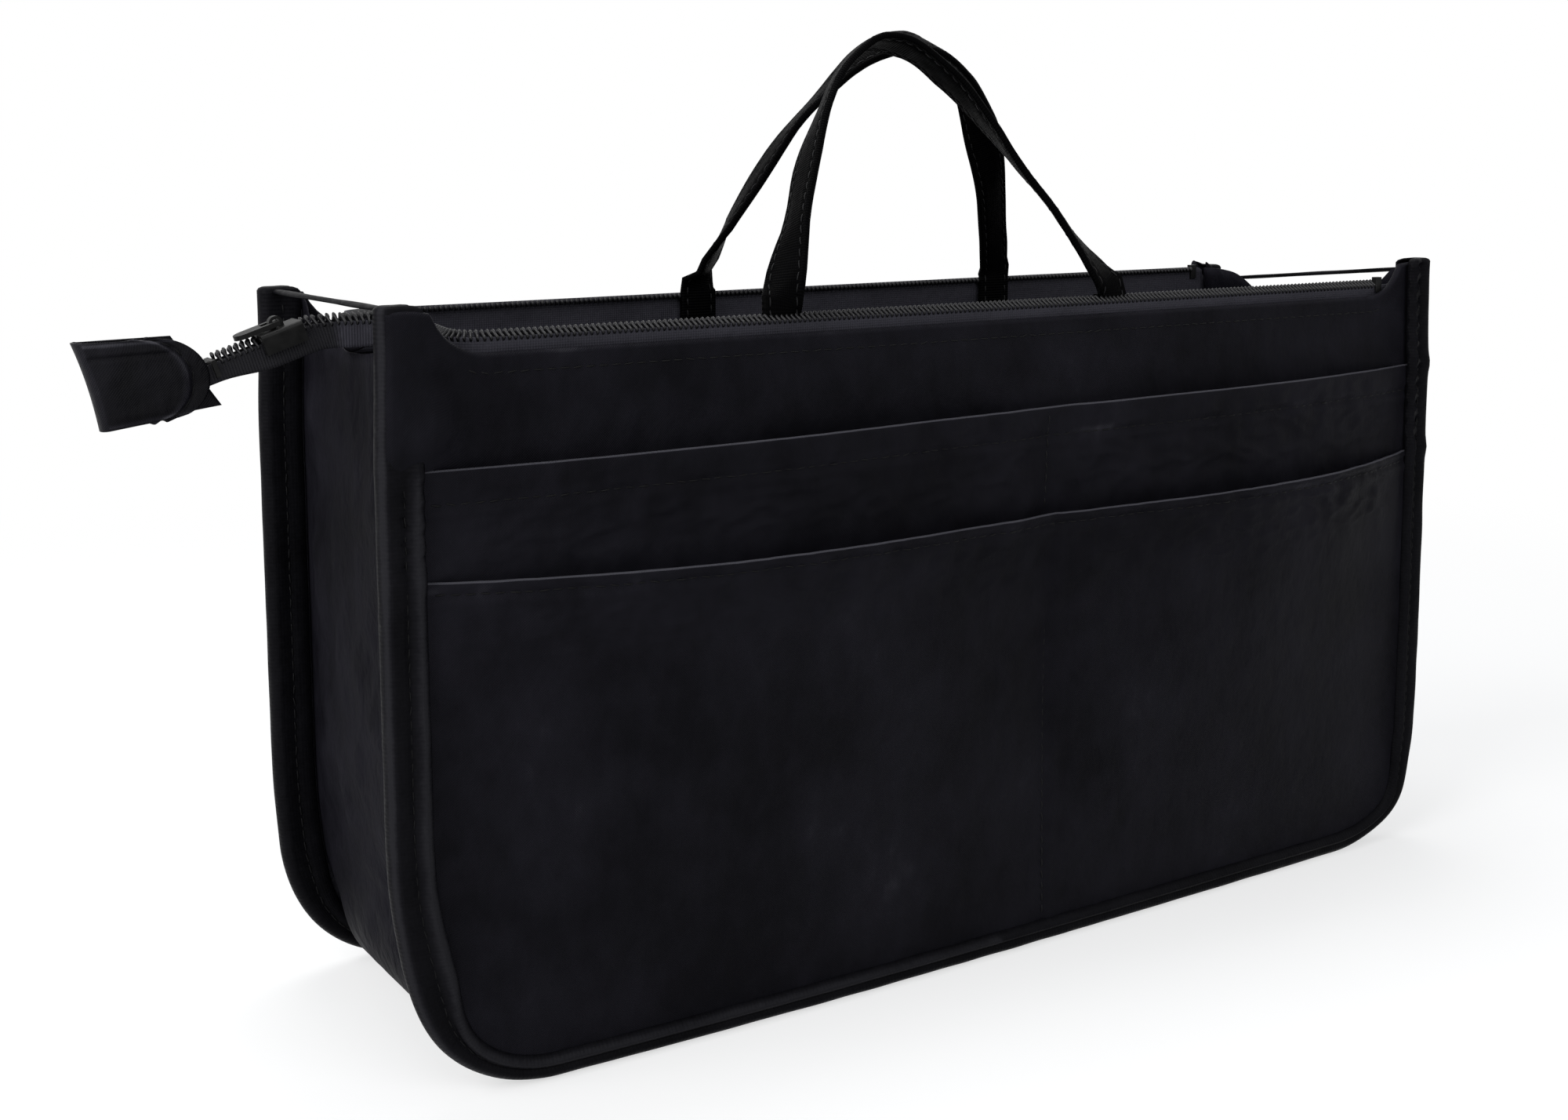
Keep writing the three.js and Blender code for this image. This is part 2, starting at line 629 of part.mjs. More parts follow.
// The closed end of the zipper that hangs out of the body, with its end tab, slider and puller.
function zipperTail() {
  const tail = new THREE.Group();
  tail.position.set(bendX, 0, bendZ);
  tail.rotation.y = -THREE.MathUtils.degToRad(tailDroop);
  organizer.add(tail);

  const leafTop = chainFoot - plyGap;
  const edge = [
    [tailLap, leafDrop - neckDrop / 2],
    [-tailLength / 2, leafDrop],
    [-tailLength, neckDrop],
    [-tailLength - tabGrip, neckDrop],
  ];
  for (const [name, side] of [["front", -1], ["back", 1]]) {
    const face = (offset) =>
      edge.map(([u, drop]) => {
        const y = side * (tailTapeOffset + offset);
        return [new THREE.Vector3(u, y, -drop), new THREE.Vector3(u, y, leafTop)];
      });
    piece(tail, "tail_" + name + "_tape", sheet(face(-tapeThickness / 2), face(tapeThickness / 2)), webbing);
  }

  const chainTop = chainFoot + toothHeight;
  const steps = 2 * Math.round((tailLength - tailGap) / toothPitch);
  const chainFace = (share) =>
    Array.from({ length: steps + 1 }, (unused, i) => {
      const u = -tailGap - ((tailLength - tailGap) * i) / steps;
      const notch = i % 2 ? toothNotch / 2 : 0;
      const half = chainHalfWidth - notch;
      const v = chainFoot + share * (toothHeight - notch);
      return [new THREE.Vector3(u, -half, v), new THREE.Vector3(u, half, v)];
    });
  piece(tail, "tail_chain", sheet(chainFace(1), chainFace(0)), coil);

  const stopGrip = tailTapeOffset + tapeThickness / 2 + plyGap;
  const stopShape = clampShape(stopGrip + stopPlate, stopGrip, chainTop, leafTop + plyGap, 0);
  piece(tail, "zipper_bottom_stop", alongX(stopShape, -tailLength - stopPlate - plyGap, stopPlate), darkMetal);

  endTab(tail);
  sliderAndPuller(tail, chainTop);
}

// One folded piece of cloth: a front leaf with a rounded end, a square back leaf and the fold between them.
function endTab(tail) {
  const tab = new THREE.Group();
  tab.position.set(-tailLength - stopPlate - 4 * plyGap, 0, tabRise);
  tab.rotation.y = THREE.MathUtils.degToRad(tabLift);
  tail.add(tab);
  const end = -tabLength;
  const slotHalf = tailTapeOffset + tapeThickness / 2 + sliderPlay;
  const rootHalf = tabRootHeight / 2;
  const endTop = tabSlant + tabEndHeight / 2;
  const endFoot = tabSlant - tabEndHeight / 2;

  const square = new THREE.Shape();
  square.moveTo(end, endFoot);
  square.lineTo(0, -rootHalf);
  square.lineTo(-tabRound / 2, rootHalf);
  square.lineTo(end, endTop);

  const rounded = new THREE.Shape();
  rounded.moveTo(end, endFoot);
  rounded.lineTo(-tabRound, -rootHalf);
  rounded.quadraticCurveTo(0, -rootHalf, 0, 0);
  rounded.quadraticCurveTo(0, rootHalf, -tabRound, rootHalf);
  rounded.lineTo(end, endTop);

  const fold = new THREE.Shape();
  fold.moveTo(end, endFoot);
  fold.lineTo(end + tabCloth, endFoot);
  fold.lineTo(end + tabCloth, endTop);
  fold.lineTo(end, endTop);

  const front = toSolid(alongY(rounded, -slotHalf - tabCloth, tabCloth));
  const back = toSolid(alongY(square, slotHalf, tabCloth));
  const bend = toSolid(alongY(fold, -slotHalf - tabCloth, 2 * (slotHalf + tabCloth)));
  const outline = toSolid(alongY(square, -slotHalf - 2 * tabCloth, 2 * (slotHalf + 2 * tabCloth)));
  piece(tab, "zipper_end_tab", toGeometry(front.add(back).add(bend.intersect(outline))), bindingTape);
}

// A slider that straddles the chain, its lips under the teeth, and a puller in the eye on its back.
function sliderAndPuller(tail, chainTop) {
  const slider = new THREE.Group();
  slider.position.x = -sliderPlace;
  tail.add(slider);

  const inside = chainHalfWidth + sliderPlay;
  const outside = inside + sliderWall;
  const lipEdge = tailTapeOffset + tapeThickness / 2 + sliderPlay;
  const lipTop = chainFoot - sliderPlay;
  const roof = chainTop + sliderPlay;
  const top = roof + sliderPlate;
  const section = new THREE.Shape();
  section.moveTo(-outside, lipTop - sliderLip);
  section.lineTo(-lipEdge, lipTop - sliderLip);
  section.lineTo(-lipEdge, lipTop);
  section.lineTo(-inside, lipTop);
  section.lineTo(-inside, roof);
  section.lineTo(inside, roof);
  section.lineTo(inside, lipTop);
  section.lineTo(lipEdge, lipTop);
  section.lineTo(lipEdge, lipTop - sliderLip);
  section.lineTo(outside, lipTop - sliderLip);
  section.lineTo(outside, top - sliderWall);
  section.quadraticCurveTo(outside, top, outside - sliderWall, top);
  section.lineTo(-outside + sliderWall, top);
  section.quadraticCurveTo(-outside, top, -outside, top - sliderWall);
  const body = toSolid(alongX(section, -sliderLength / 2, sliderLength));

  const eyeZ = top + bailRadius;
  const outer = bailRadius + bailWire;
  const bail = new THREE.Shape();
  bail.moveTo(-outer, top - sliderPlate / 2);
  bail.lineTo(outer, top - sliderPlate / 2);
  bail.lineTo(outer, eyeZ);
  bail.absarc(0, eyeZ, outer, 0, Math.PI, false);
  const eye = new THREE.Path();
  eye.absarc(0, eyeZ, bailRadius, 0, 2 * Math.PI, true);
  bail.holes.push(eye);
  const arch = toSolid(alongY(bail, -bailWidth / 2, bailWidth));
  piece(slider, "zipper_slider", toGeometry(body.add(arch)), darkMetal);

  const puller = new THREE.Group();
  puller.position.z = eyeZ;
  puller.rotation.z = Math.PI;
  slider.add(puller);
  const armGap = bailWidth / 2 + sliderPlay;
  const plate = new THREE.Shape();
  const half = pullerWidth / 2;
  plate.moveTo(-pullerPin, -half);
  plate.lineTo(pullerLength - half, -half);
  plate.absarc(pullerLength - half, 0, half, -Math.PI / 2, Math.PI / 2, false);
  plate.lineTo(-pullerPin, half);
  const window = new THREE.Path();
  window.moveTo(pullerPin, -armGap);
  window.lineTo(pullerPin, armGap);
  window.lineTo(pullerPin + pullerSlot, armGap);
  window.lineTo(pullerPin + pullerSlot, -armGap);
  plate.holes.push(window);
  const flat = new THREE.ExtrudeGeometry(plate, { depth: pullerThickness, bevelEnabled: false, curveSegments: 6 });
  flat.translate(0, 0, -pullerThickness / 2);
  piece(puller, "zipper_puller", flat, darkMetal);
}

bodySide("front", 0, frontStrap);
bodySide("back", Math.PI, backStrap);
piece(organizer, "gusset", gusset(), gussetNylon);
piece(organizer, "left_tie_tape", tieTape(-1, leftTieSag), bindingTape);
piece(organizer, "right_tie_tape", tieTape(1, rightTieSag), bindingTape);
zipperHalf("front", -1);
zipperHalf("back", 1);
zipperTail();

export default organizer;
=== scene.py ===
import json
import math

import bpy
import numpy as np
from mathutils import Matrix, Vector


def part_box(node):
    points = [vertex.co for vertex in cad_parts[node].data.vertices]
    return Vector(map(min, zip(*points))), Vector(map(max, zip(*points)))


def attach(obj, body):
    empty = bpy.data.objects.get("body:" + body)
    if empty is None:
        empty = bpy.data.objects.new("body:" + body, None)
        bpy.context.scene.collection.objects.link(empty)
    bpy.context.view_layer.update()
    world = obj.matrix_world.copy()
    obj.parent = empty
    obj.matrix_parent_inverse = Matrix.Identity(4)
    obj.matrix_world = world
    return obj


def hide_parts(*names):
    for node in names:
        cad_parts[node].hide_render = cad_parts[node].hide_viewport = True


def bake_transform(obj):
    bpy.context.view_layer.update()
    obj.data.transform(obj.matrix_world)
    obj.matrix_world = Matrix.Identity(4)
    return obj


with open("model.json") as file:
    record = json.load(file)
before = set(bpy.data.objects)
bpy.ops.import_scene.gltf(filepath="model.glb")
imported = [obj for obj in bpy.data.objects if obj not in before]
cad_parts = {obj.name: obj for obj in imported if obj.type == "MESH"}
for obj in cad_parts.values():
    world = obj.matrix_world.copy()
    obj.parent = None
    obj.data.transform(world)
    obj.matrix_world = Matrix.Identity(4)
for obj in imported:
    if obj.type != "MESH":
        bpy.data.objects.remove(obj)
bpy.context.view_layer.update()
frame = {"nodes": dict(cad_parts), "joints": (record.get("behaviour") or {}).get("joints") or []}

mm = 0.001  # lengths below are millimetres in the frame of the CAD model
turnedRound = np.array((-1, -1, 1))  # the back is the front turned half round


def boxMm(node):
    low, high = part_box(node)
    return np.array(low) / mm, np.array(high) / mm


bindLow, bindHigh = boxMm("front_edge_binding")
boardLow, boardHigh = boxMm("front_panel_stiffener")
innerLow, innerHigh = boxMm("front_inner_pocket")
shellFace = boxMm("front_panel_shell")[0][1]
liningFace = boxMm("front_panel_lining")[1][1]
tapeFace = boxMm("front_zipper_tape")[0][1]
teethFoot = boxMm("front_zipper_teeth")[0][2]

bodyCut = {
    "cornerRadius": 33,
    "bindingWidth": 9,  # bound seam at the sides
    "bindingFoot": 6,  # bound seam along the base
    "toothRise": 3,  # teeth above the panel's top edge
    "edgeFillet": 14,  # where the top edge runs up into a horn
    "hornPlay": 1,  # cloth stays this far below a horn's top
    "divider": 13,  # sewn line that parts the outer pockets
    "ply": 0.5,
    "plyGap": 0.15,
    "seamIn": 1.2,  # side edges of the cloth, under the binding
    "footIn": 1.0,  # its lower edge
}
halfLength, hornTop = bindHigh[0], bindHigh[2]
outerPlane = -bindLow[1]  # outer face of a binding, from the middle plane
bindDepth = bindHigh[1] - bindLow[1]
panelTop = teethFoot - bodyCut["toothRise"]
shellDepth = outerPlane + shellFace
plyStep = bodyCut["ply"] + bodyCut["plyGap"]
tallDepth = shellDepth - plyStep
shortDepth = tallDepth - plyStep
corner, divider = bodyCut["cornerRadius"], bodyCut["divider"]
seamInner = halfLength - bodyCut["bindingWidth"]


def jointNamed(name):
    return next(joint for joint in frame["joints"] if joint["name"] == name)


def smooth(share):
    share = np.clip(share, 0, 1)
    return share * share * (3 - 2 * share)


def bump(distance, width):
    return np.exp(-((distance / width) ** 2))


# 0 at a start and 1 a reach further on
def ramped(value, place):
    start, reach = place
    return smooth((value - start) / reach)


# A soft spot: its places across and up, each with a reach
def spotAt(x, z, places):
    (across, wide), (up, tall) = places
    return bump(x - across, wide) * bump(z - up, tall)


# Two directions or lengths, turned by an angle
def turned(u, v, angle):
    c, s = np.cos(angle), np.sin(angle)
    return u * c - v * s, u * s + v * c


# Points from their three lengths, which may be single values
def xyz(x, y, z):
    return np.stack(np.broadcast_arrays(x, y, z), -1)


# How the soft body has settled: small shifts that all its cloth shares
slump = {
    "belly": 0.08,  # share by which the long sides stand out at the base
    "bellySide": 0.55,  # more of it towards the left
    "ends": 1.2,  # the ends stand out above the corners
    "endsFull": 60,  # height at which they are full
    "endsEase": 0.6,  # share of the draw back towards the horns
    "endsEaseFrom": (130, 25),
    "rightCorner": 4.8,  # pushed out, squarer
    "rightCornerAt": ((138, 18), (8, 11)),
    "leftCorners": (3.0, 1.1),  # front and back, drawn in, rounder
    "leftCornersAt": ((138, 18), (27, 13)),
    "leftHorns": (1.3, 0.8),  # front and back, drawn up
    "leftHornFrom": ((140, 20), (136, 8)),
    "rightHorn": 0.9,  # front one, drawn up
    "backHorn": (4.6, 4.2),  # back right horn leaning in and down
    "rightHornFrom": ((132, 28), (134, 12)),
    "hornSide": (24, 8),  # depth at which a horn's own shift starts
}


def settled(points):
    x, y, z = points[..., 0], points[..., 1], points[..., 2]
    front, right = smooth(0.5 - y / 30), smooth(x / 40)
    along = np.clip(x / halfLength, -1, 1)
    standing = np.clip(1 - z / panelTop, 0, 1)
    belly = slump["belly"] * (1 - along**2) * standing * (1 - slump["bellySide"] * along)
    eased = 1 - slump["endsEase"] * ramped(z, slump["endsEaseFrom"])
    bow = slump["ends"] * smooth(z / slump["endsFull"]) * eased * along**3
    drawnFront, drawnBack = slump["leftCorners"]
    drawn = drawnFront * front + drawnBack * (1 - front)
    push = slump["rightCorner"] * right * spotAt(np.abs(x), z, slump["rightCornerAt"])
    push = push + drawn * (1 - right) * spotAt(np.abs(x), z, slump["leftCornersAt"])

    def horn(sign, places):
        return ramped(z, places[0]) * ramped(sign * x, places[1])

    rightEnd = horn(1, slump["rightHornFrom"])
    leftEnd = horn(-1, slump["leftHornFrom"]) * (x > -halfLength - 2)
    frontSide, backSide = (ramped(sign * y, slump["hornSide"]) for sign in (-1, 1))
    upFront, upBack = slump["leftHorns"]
    leanIn, leanDown = slump["backHorn"]
    lift = leftEnd * (upFront * frontSide + upBack * backSide)
    lift = lift + rightEnd * (slump["rightHorn"] * front - leanDown * (1 - front))
    lean = rightEnd * leanIn * (1 - front)
    return xyz(x + bow + push - lean, y * (1 + belly), z + lift)


# Gradient noise on a repeating lattice, about -1 to 1
def softNoise(x, y, seed):
    cells, gain = 64, 1.5
    angle = np.random.default_rng(seed).uniform(0, 2 * np.pi, (cells, cells))
    i, j = np.floor(x).astype(int), np.floor(y).astype(int)
    u, v = x - i, y - j

    def slope(a, b):
        way = angle[(i + a) % cells, (j + b) % cells]
        return np.cos(way) * (u - a) + np.sin(way) * (v - b)

    su, sv = smooth(u), smooth(v)
    low = slope(0, 0) * (1 - su) + slope(1, 0) * su
    high = slope(0, 1) * (1 - su) + slope(1, 1) * su
    return gain * (low * (1 - sv) + high * sv)


# Waves of a cloth: each has a height and its lengths across and up
def waveSum(waves, x, z, seed):
    return sum(
        height * softNoise(x / across, z / up, seed + k) for k, (height, across, up) in enumerate(waves)
    )


# Thin ridges where the noise passes through zero, 0 to 1
def creases(x, y, seed, sharp):
    return np.clip(1 - np.abs(softNoise(x, y, seed)) * 1.6, 0, 1) ** sharp


def unit(vectors):
    return vectors / np.maximum(np.linalg.norm(vectors, axis=-1, keepdims=True), 1e-9)


def reachAlong(points):
    return np.concatenate([[0], np.cumsum(np.linalg.norm(np.diff(points, axis=0), axis=1))])


def lengthsAlong(grid, axis):
    steps = np.linalg.norm(np.diff(grid, axis=axis), axis=2).mean(axis=1 - axis)
    return np.concatenate([[0], np.cumsum(steps)])


def linked(name, data):
    made = bpy.data.objects.new(name, data)
    bpy.context.scene.collection.objects.link(made)
    return made


# A smooth piece from points in millimetres, turned for the back and settled with the body
def meshPiece(name, points, faces, finish, turn):
    points = settled(points * turnedRound if turn else points)
    mesh = bpy.data.meshes.new(name)
    mesh.from_pydata((points.reshape(-1, 3) * mm).tolist(), [], faces)
    mesh.shade_smooth()
    mesh.materials.append(finish)
    return linked(name, mesh), points


# A mesh from rows of points. A closed one wraps round its columns, and its two ends are capped.
def gridPiece(name, grid, finish, thickness=0, turn=False, closed=False, fold=None):
    grid = np.array(grid, float)
    rows, columns = grid.shape[:2]
    index = np.arange(rows * columns).reshape(rows, columns)
    if closed:
        index = np.concatenate([index, index[:, :1]], axis=1)
    corners = ((0, 0), (0, 1), (1, 1), (1, 0))
    tall, wide = index.shape[0] - 1, index.shape[1] - 1
    faces = np.stack([index[a : a + tall, b : b + wide] for a, b in corners], -1).reshape(-1, 4).tolist()
    if closed:
        faces += [index[0, :-1][::-1].tolist(), index[-1, :-1].tolist()]
    piece, grid = meshPiece(name, grid, faces, finish, turn)
    across, along = lengthsAlong(grid, 1), lengthsAlong(grid, 0)
    if closed:
        across = np.append(across, across[-1] + np.linalg.norm(grid[:, 0] - grid[:, -1], axis=1).mean())
    u = np.stack([np.tile(across[b : b + wide], (tall, 1)) for a, b in corners], -1)
    v = np.stack([np.tile(along[a : a + tall, None], (1, wide)) for a, b in corners], -1)
    weave = np.stack([u, v], -1).reshape(-1, 2)
    if closed:
        weave = np.concatenate([weave, np.zeros((2 * wide, 2))])
    piece.data.uv_layers.new(name="weave").data.foreach_set("uv", weave.astype(np.float32).ravel())
    if fold is not None:
        wear = np.broadcast_to(fold, (rows, columns)).astype(np.float32)
        piece.data.attributes.new("fold", "FLOAT", "POINT").data.foreach_set("value", wear.ravel())
    if thickness:
        solid = piece.modifiers.new("ply", "SOLIDIFY")
        solid.thickness = thickness * mm
        solid.offset = -1
    return piece


# Many copies of one small form, each in its own frame of three directions
def scatterPiece(name, form, formFaces, places, finish, turn=False):
    centres, xs, ys, zs = (np.array(part, float) for part in places)
    x, y, z = form[None, :, 0, None], form[None, :, 1, None], form[None, :, 2, None]
    points = centres[:, None] + x * xs[:, None] + y * ys[:, None] + z * zs[:, None]
    count, size = points.shape[:2]
    faces = [[k * size + i for i in face] for k in range(count) for face in formFaces]
    return meshPiece(name, points, faces, finish, turn)[0]


# A bead lofted through rings: each ring has a place along x, half sizes in y and z, and a lift in z
def beadForm(rings, sides):
    angle = np.arange(sides) * 2 * np.pi / sides
    loops = [xyz(x, half * np.cos(angle), lift + tall * np.sin(angle)) for x, half, tall, lift in rings]
    faces = []
    for r in range(len(rings) - 1):
        for s in range(sides):
            low, high = r * sides + s, r * sides + (s + 1) % sides
            faces.append([low, low + sides, high + sides, high])
    faces.append(list(range(sides)))
    faces.append([(len(rings) - 1) * sides + s for s in reversed(range(sides))])
    return np.concatenate(loops), faces


thread = {
    "pitch": 2.9, "length": 2.2, "radius": 0.19, "sink": 0.04, "tilt": 5, "sides": 6,
    # place along a stitch, thickness and lift of its rings
    "rings": ((-0.5, 0.3, -0.9), (-0.4, 0.8, -0.2), (0, 1, 0.25), (0.4, 0.8, -0.2), (0.5, 0.3, -0.9)),
}


# Sewing thread along lines of points, each with the direction or directions that its cloth faces
def stitching(name, lines, turn=False):
    long, thick, pitch = thread["length"], thread["radius"], thread["pitch"]
    rings = [(at * long, size * thick, size * thick, lift * thick) for at, size, lift in thread["rings"]]
    form, faces = beadForm(rings, thread["sides"])
    wander = np.random.default_rng(len(name))
    places = []
    for points, facing in lines:
        facing = unit(np.broadcast_to(facing, points.shape))
        reach = reachAlong(points)
        stops = np.arange(pitch / 2, reach[-1], pitch)

        def at(values, where):
            return np.stack([np.interp(where, reach, values[:, k]) for k in range(3)], -1)

        way = unit(at(points, stops + pitch / 3) - at(points, stops - pitch / 3))
        normal = at(facing, stops)
        normal = unit(normal - (normal * way).sum(-1, keepdims=True) * way)
        tilt = np.radians(wander.normal(0, thread["tilt"], (len(stops), 1)))
        centre = at(points, stops) + normal * (thick * 0.5 - thread["sink"])
        places.append((centre, way * np.cos(tilt) + np.cross(normal, way) * np.sin(tilt), normal))
    centre, way, normal = (np.concatenate(part) for part in zip(*places))
    return scatterPiece(name, form, faces, (centre, way, np.cross(normal, way), normal), sewingThread, turn)


# A point on a surface y(x, z) of the front, and the direction it faces
def onSurface(surface, x, z):
    step = 0.4
    x, z = np.broadcast_arrays(np.array(x, float), np.array(z, float))
    slopeX = (surface(x + step, z) - surface(x - step, z)) / (2 * step)
    slopeZ = (surface(x, z + step) - surface(x, z - step)) / (2 * step)
    return xyz(x, surface(x, z), z), xyz(slopeX, -1, slopeZ)


# One wire of a shader: sums on it add Math nodes
class Wire:
    def __init__(self, finish, socket):
        self.finish, self.socket = finish, socket

    def sum(self, operation, *values):
        return self.finish.node("ShaderNodeMath", {"operation": operation}, dict(enumerate(values)))

    def __add__(self, other):
        return self.sum("ADD", self, other)

    def __radd__(self, other):
        return self.sum("ADD", other, self)

    def __sub__(self, other):
        return self.sum("SUBTRACT", self, other)

    def __rsub__(self, other):
        return self.sum("SUBTRACT", other, self)

    def __mul__(self, other):
        return self.sum("MULTIPLY", self, other)

    def __rmul__(self, other):
        return self.sum("MULTIPLY", other, self)

    def __truediv__(self, other):
        return self.sum("DIVIDE", self, other)

    def __rtruediv__(self, other):
        return self.sum("DIVIDE", other, self)

    def larger(self, other):
        return self.sum("MAXIMUM", self, other)

    def sine(self):
        return self.sum("SINE", self)


# The nodes of a material or of the world
class Finish:
    def __init__(self, owner):
        owner.use_nodes = True
        self.owner, self.tree = owner, owner.node_tree
        self.tree.nodes.clear()

    def node(self, kind, settings=None, sockets=None, out=0):
        made = self.tree.nodes.new(kind)
        for key, value in (settings or {}).items():
            if key == "stops":
                self.setStops(made.color_ramp, value)
            else:
                setattr(made, key, value)
        for key, value in (sockets or {}).items():
            if isinstance(value, Wire):
                self.tree.links.new(value.socket, made.inputs[key])
            else:
                made.inputs[key].default_value = value
        return Wire(self, made.outputs[out]) if made.outputs else None

    def setStops(self, ramp, stops):
        while len(ramp.elements) < len(stops):
            ramp.elements.new(1)
        for element, (place, shade) in zip(ramp.elements, stops):
            element.position = place
            element.color = shade

    # Lengths across and along a piece's cloth
    def weave(self):
        uv = self.node("ShaderNodeUVMap", {"uv_map": "weave"})
        across = self.node("ShaderNodeSeparateXYZ", None, {0: uv})
        return across, Wire(self, across.socket.node.outputs[1])

    def place(self):
        return self.node("ShaderNodeTexCoord", None, None, "Object")

    # Painted light along folds, edges and seams: a paler colour standing in for highlights, and on the zipper
    # tape a darker tail
    def fold(self):
        return self.node("ShaderNodeAttribute", {"attribute_name": "fold"}, None, "Fac")

    def noise(self, where, scale, detail, roughness=0.5, stretch=None):
        if stretch:
            where = self.node("ShaderNodeVectorMath", {"operation": "MULTIPLY"}, {0: where, 1: stretch})
        values = {"Vector": where, "Scale": scale, "Detail": detail, "Roughness": roughness}
        return self.node("ShaderNodeTexNoise", None, values)

    def ramp(self, value, stops):
        return self.node("ShaderNodeValToRGB", {"stops": stops}, {0: value})

    def bump(self, height, distance, strength=1.0, normal=None):
        values = {"Height": height, "Distance": distance, "Strength": strength}
        if normal:
            values["Normal"] = normal
        return self.node("ShaderNodeBump", None, values)

    # 1 for what the camera sees, also by way of gloss or glass
    def seen(self):
        kinds = ("Is Camera Ray", "Is Glossy Ray", "Is Transmission Ray")
        straight, gloss, through = [self.node("ShaderNodeLightPath", None, None, kind) for kind in kinds]
        return straight.larger(gloss).larger(through)

    def cloth(self, colour, rough, normal, index):
        values = {"Base Color": colour, "Roughness": rough, "Normal": normal, "IOR": index}
        return self.output(self.node("ShaderNodeBsdfPrincipled", None, values))

    def output(self, shader):
        self.node("ShaderNodeOutputMaterial", None, {"Surface": shader})
        return self.owner


def newFinish(name):
    return Finish(bpy.data.materials.new(name))


# A grey with a share of violet
def grey(value, tint=0.0):
    return (value * (1 - 0.4 * tint), value * (1 - 0.6 * tint), value * (1 + tint), 1)


nylonLooks = {
    "shell": {"tones": (0.0034, 0.008), "tint": 0.2, "rough": 0.42, "crinkle": 0.65, "index": 1.08},
    "gusset": {"tones": (0.0034, 0.0086), "tint": 0.2, "rough": 0.46, "crinkle": 1.5, "index": 1.06},
    "lining": {"tones": (0.016, 0.03), "tint": 0.15, "rough": 0.55, "crinkle": 0.5, "index": 1.15},
    "tab": {"tones": (0.002, 0.0075), "tint": 0.2, "rough": 0.42, "crinkle": 0.8, "index": 1.14},
    "pitch": 0.55,  # of the threads
    # tone of the painted highlights on folds and edges
    "paintedLight": grey(0.045, 0.1),
    "creaseDepth": 0.0009,
    "threadDepth": 0.00006,
}


# Plain-weave nylon: fine over and under threads, soft crinkles and fold lines painted paler as highlights
def nylonFinish(kind):
    finish, look = newFinish(kind + "_nylon"), nylonLooks[kind]
    u, v = finish.weave()
    turn = 2 * math.pi / nylonLooks["pitch"]
    over = (u * turn).sine() * (v * turn).sine()
    place = finish.place()
    cloud = finish.noise(place, 38, 3)
    crinkle = finish.noise(place, 210, 3, 0.55, (1, 1, 0.6))
    fold = finish.fold()
    # the fold term paints highlights along folds and edges into the colour
    shade = cloud * 0.7 + crinkle * 0.3 + over * 0.06 + fold * 0.8
    dark, light = (grey(tone, look["tint"]) for tone in look["tones"])
    colour = finish.ramp(shade, [(0.36, dark), (0.68, light), (1.0, nylonLooks["paintedLight"])])
    rough = look["rough"] + (crinkle - 0.5) * 0.25 + (cloud - 0.5) * 0.15 - fold * 0.1
    ripple = finish.bump(crinkle, nylonLooks["creaseDepth"] * look["crinkle"])
    normal = finish.bump(over, nylonLooks["threadDepth"], 0.6, ripple)
    return finish.cloth(colour, rough, normal, look["index"])


tapeLooks = {
    "binding_tape": {
        "tones": (0.0018, 0.0056), "tint": 0.14, "rough": 0.42, "ribs": 0.9, "rib": 0.3, "index": 1.08,
    },
    "strap_webbing": {
        "tones": (0.0004, 0.0014), "tint": 0.08, "rough": 0.45, "ribs": 0.7, "rib": 0.8, "index": 1.05,
    },
    # tones raised as painted light for the tape inside the bag, where less light reaches
    "zipper_tape": {
        "tones": (0.02, 0.036), "tint": 0.15, "rough": 0.55, "ribs": 0.6, "rib": 0.7, "index": 1.15,
    },
    "warp": 0.5,  # pitch of the threads along a tape
    # tone of the binding's painted highlights; on the zipper tape, the darker tone of its tail
    "paintedLight": grey(0.012, 0.1),
    "lumpDepth": 0.0005,
    "ribDepth": 0.00007,
}


# Narrow woven tape with ribs across it, with painted light from the fold attribute: highlights on the binding,
# a darker tail on the zipper tape
def tapeFinish(name):
    finish, look = newFinish(name), tapeLooks[name]
    u, v = finish.weave()
    rib = (v * (2 * math.pi / look["ribs"])).sine()
    warp = (u * (2 * math.pi / tapeLooks["warp"])).sine()
    place = finish.place()
    cloud = finish.noise(place, 55, 3)
    fuzz = finish.noise(place, 900, 2)
    shade = cloud * 0.55 + fuzz * 0.25 + rib * (0.07 * look["rib"]) + 0.1 + finish.fold() * 0.8
    dark, light = (grey(tone, look["tint"]) for tone in look["tones"])
    colour = finish.ramp(shade, [(0.32, dark), (0.72, light), (1.0, tapeLooks["paintedLight"])])
    ripple = finish.bump(finish.noise(place, 170, 2), tapeLooks["lumpDepth"])
    normal = finish.bump(rib + warp * 0.4, tapeLooks["ribDepth"] * look["rib"], 0.8, ripple)
    return finish.cloth(colour, look["rough"] + (fuzz - 0.5) * 0.3, normal, look["index"])


grainLooks = {
    "sewing_thread": {
        "grain": (2600, 1, 0.5, (1, 1, 2.5)), "tones": (grey(0.0015, 0.1), grey(0.004, 0.1)),
        "rough": (0.42, 0.2), "relief": 0.00008, "index": 1.2,
    },
    "zipper_coil": {
        "grain": (700, 2), "tones": (grey(0.003, 0.1), grey(0.008, 0.1)), "rough": (0.3, 0.2), "index": 1.3,
    },
    "dark_metal": {
        "grain": (420, 3), "tones": (grey(0.002), grey(0.006)), "rough": (0.32, 0.15), "relief": 0.00003,
        "index": 1.25, "scratch": (900, 2, 0.6, (0.08, 1, 1)), "metallic": 0.3,
    },
    "stiffener_foam": {
        "grain": (1500, 2), "tones": (grey(0.03), grey(0.07)), "rough": (0.85, 0.1),
        "relief": 0.0002, "index": 1.5,
    },
}


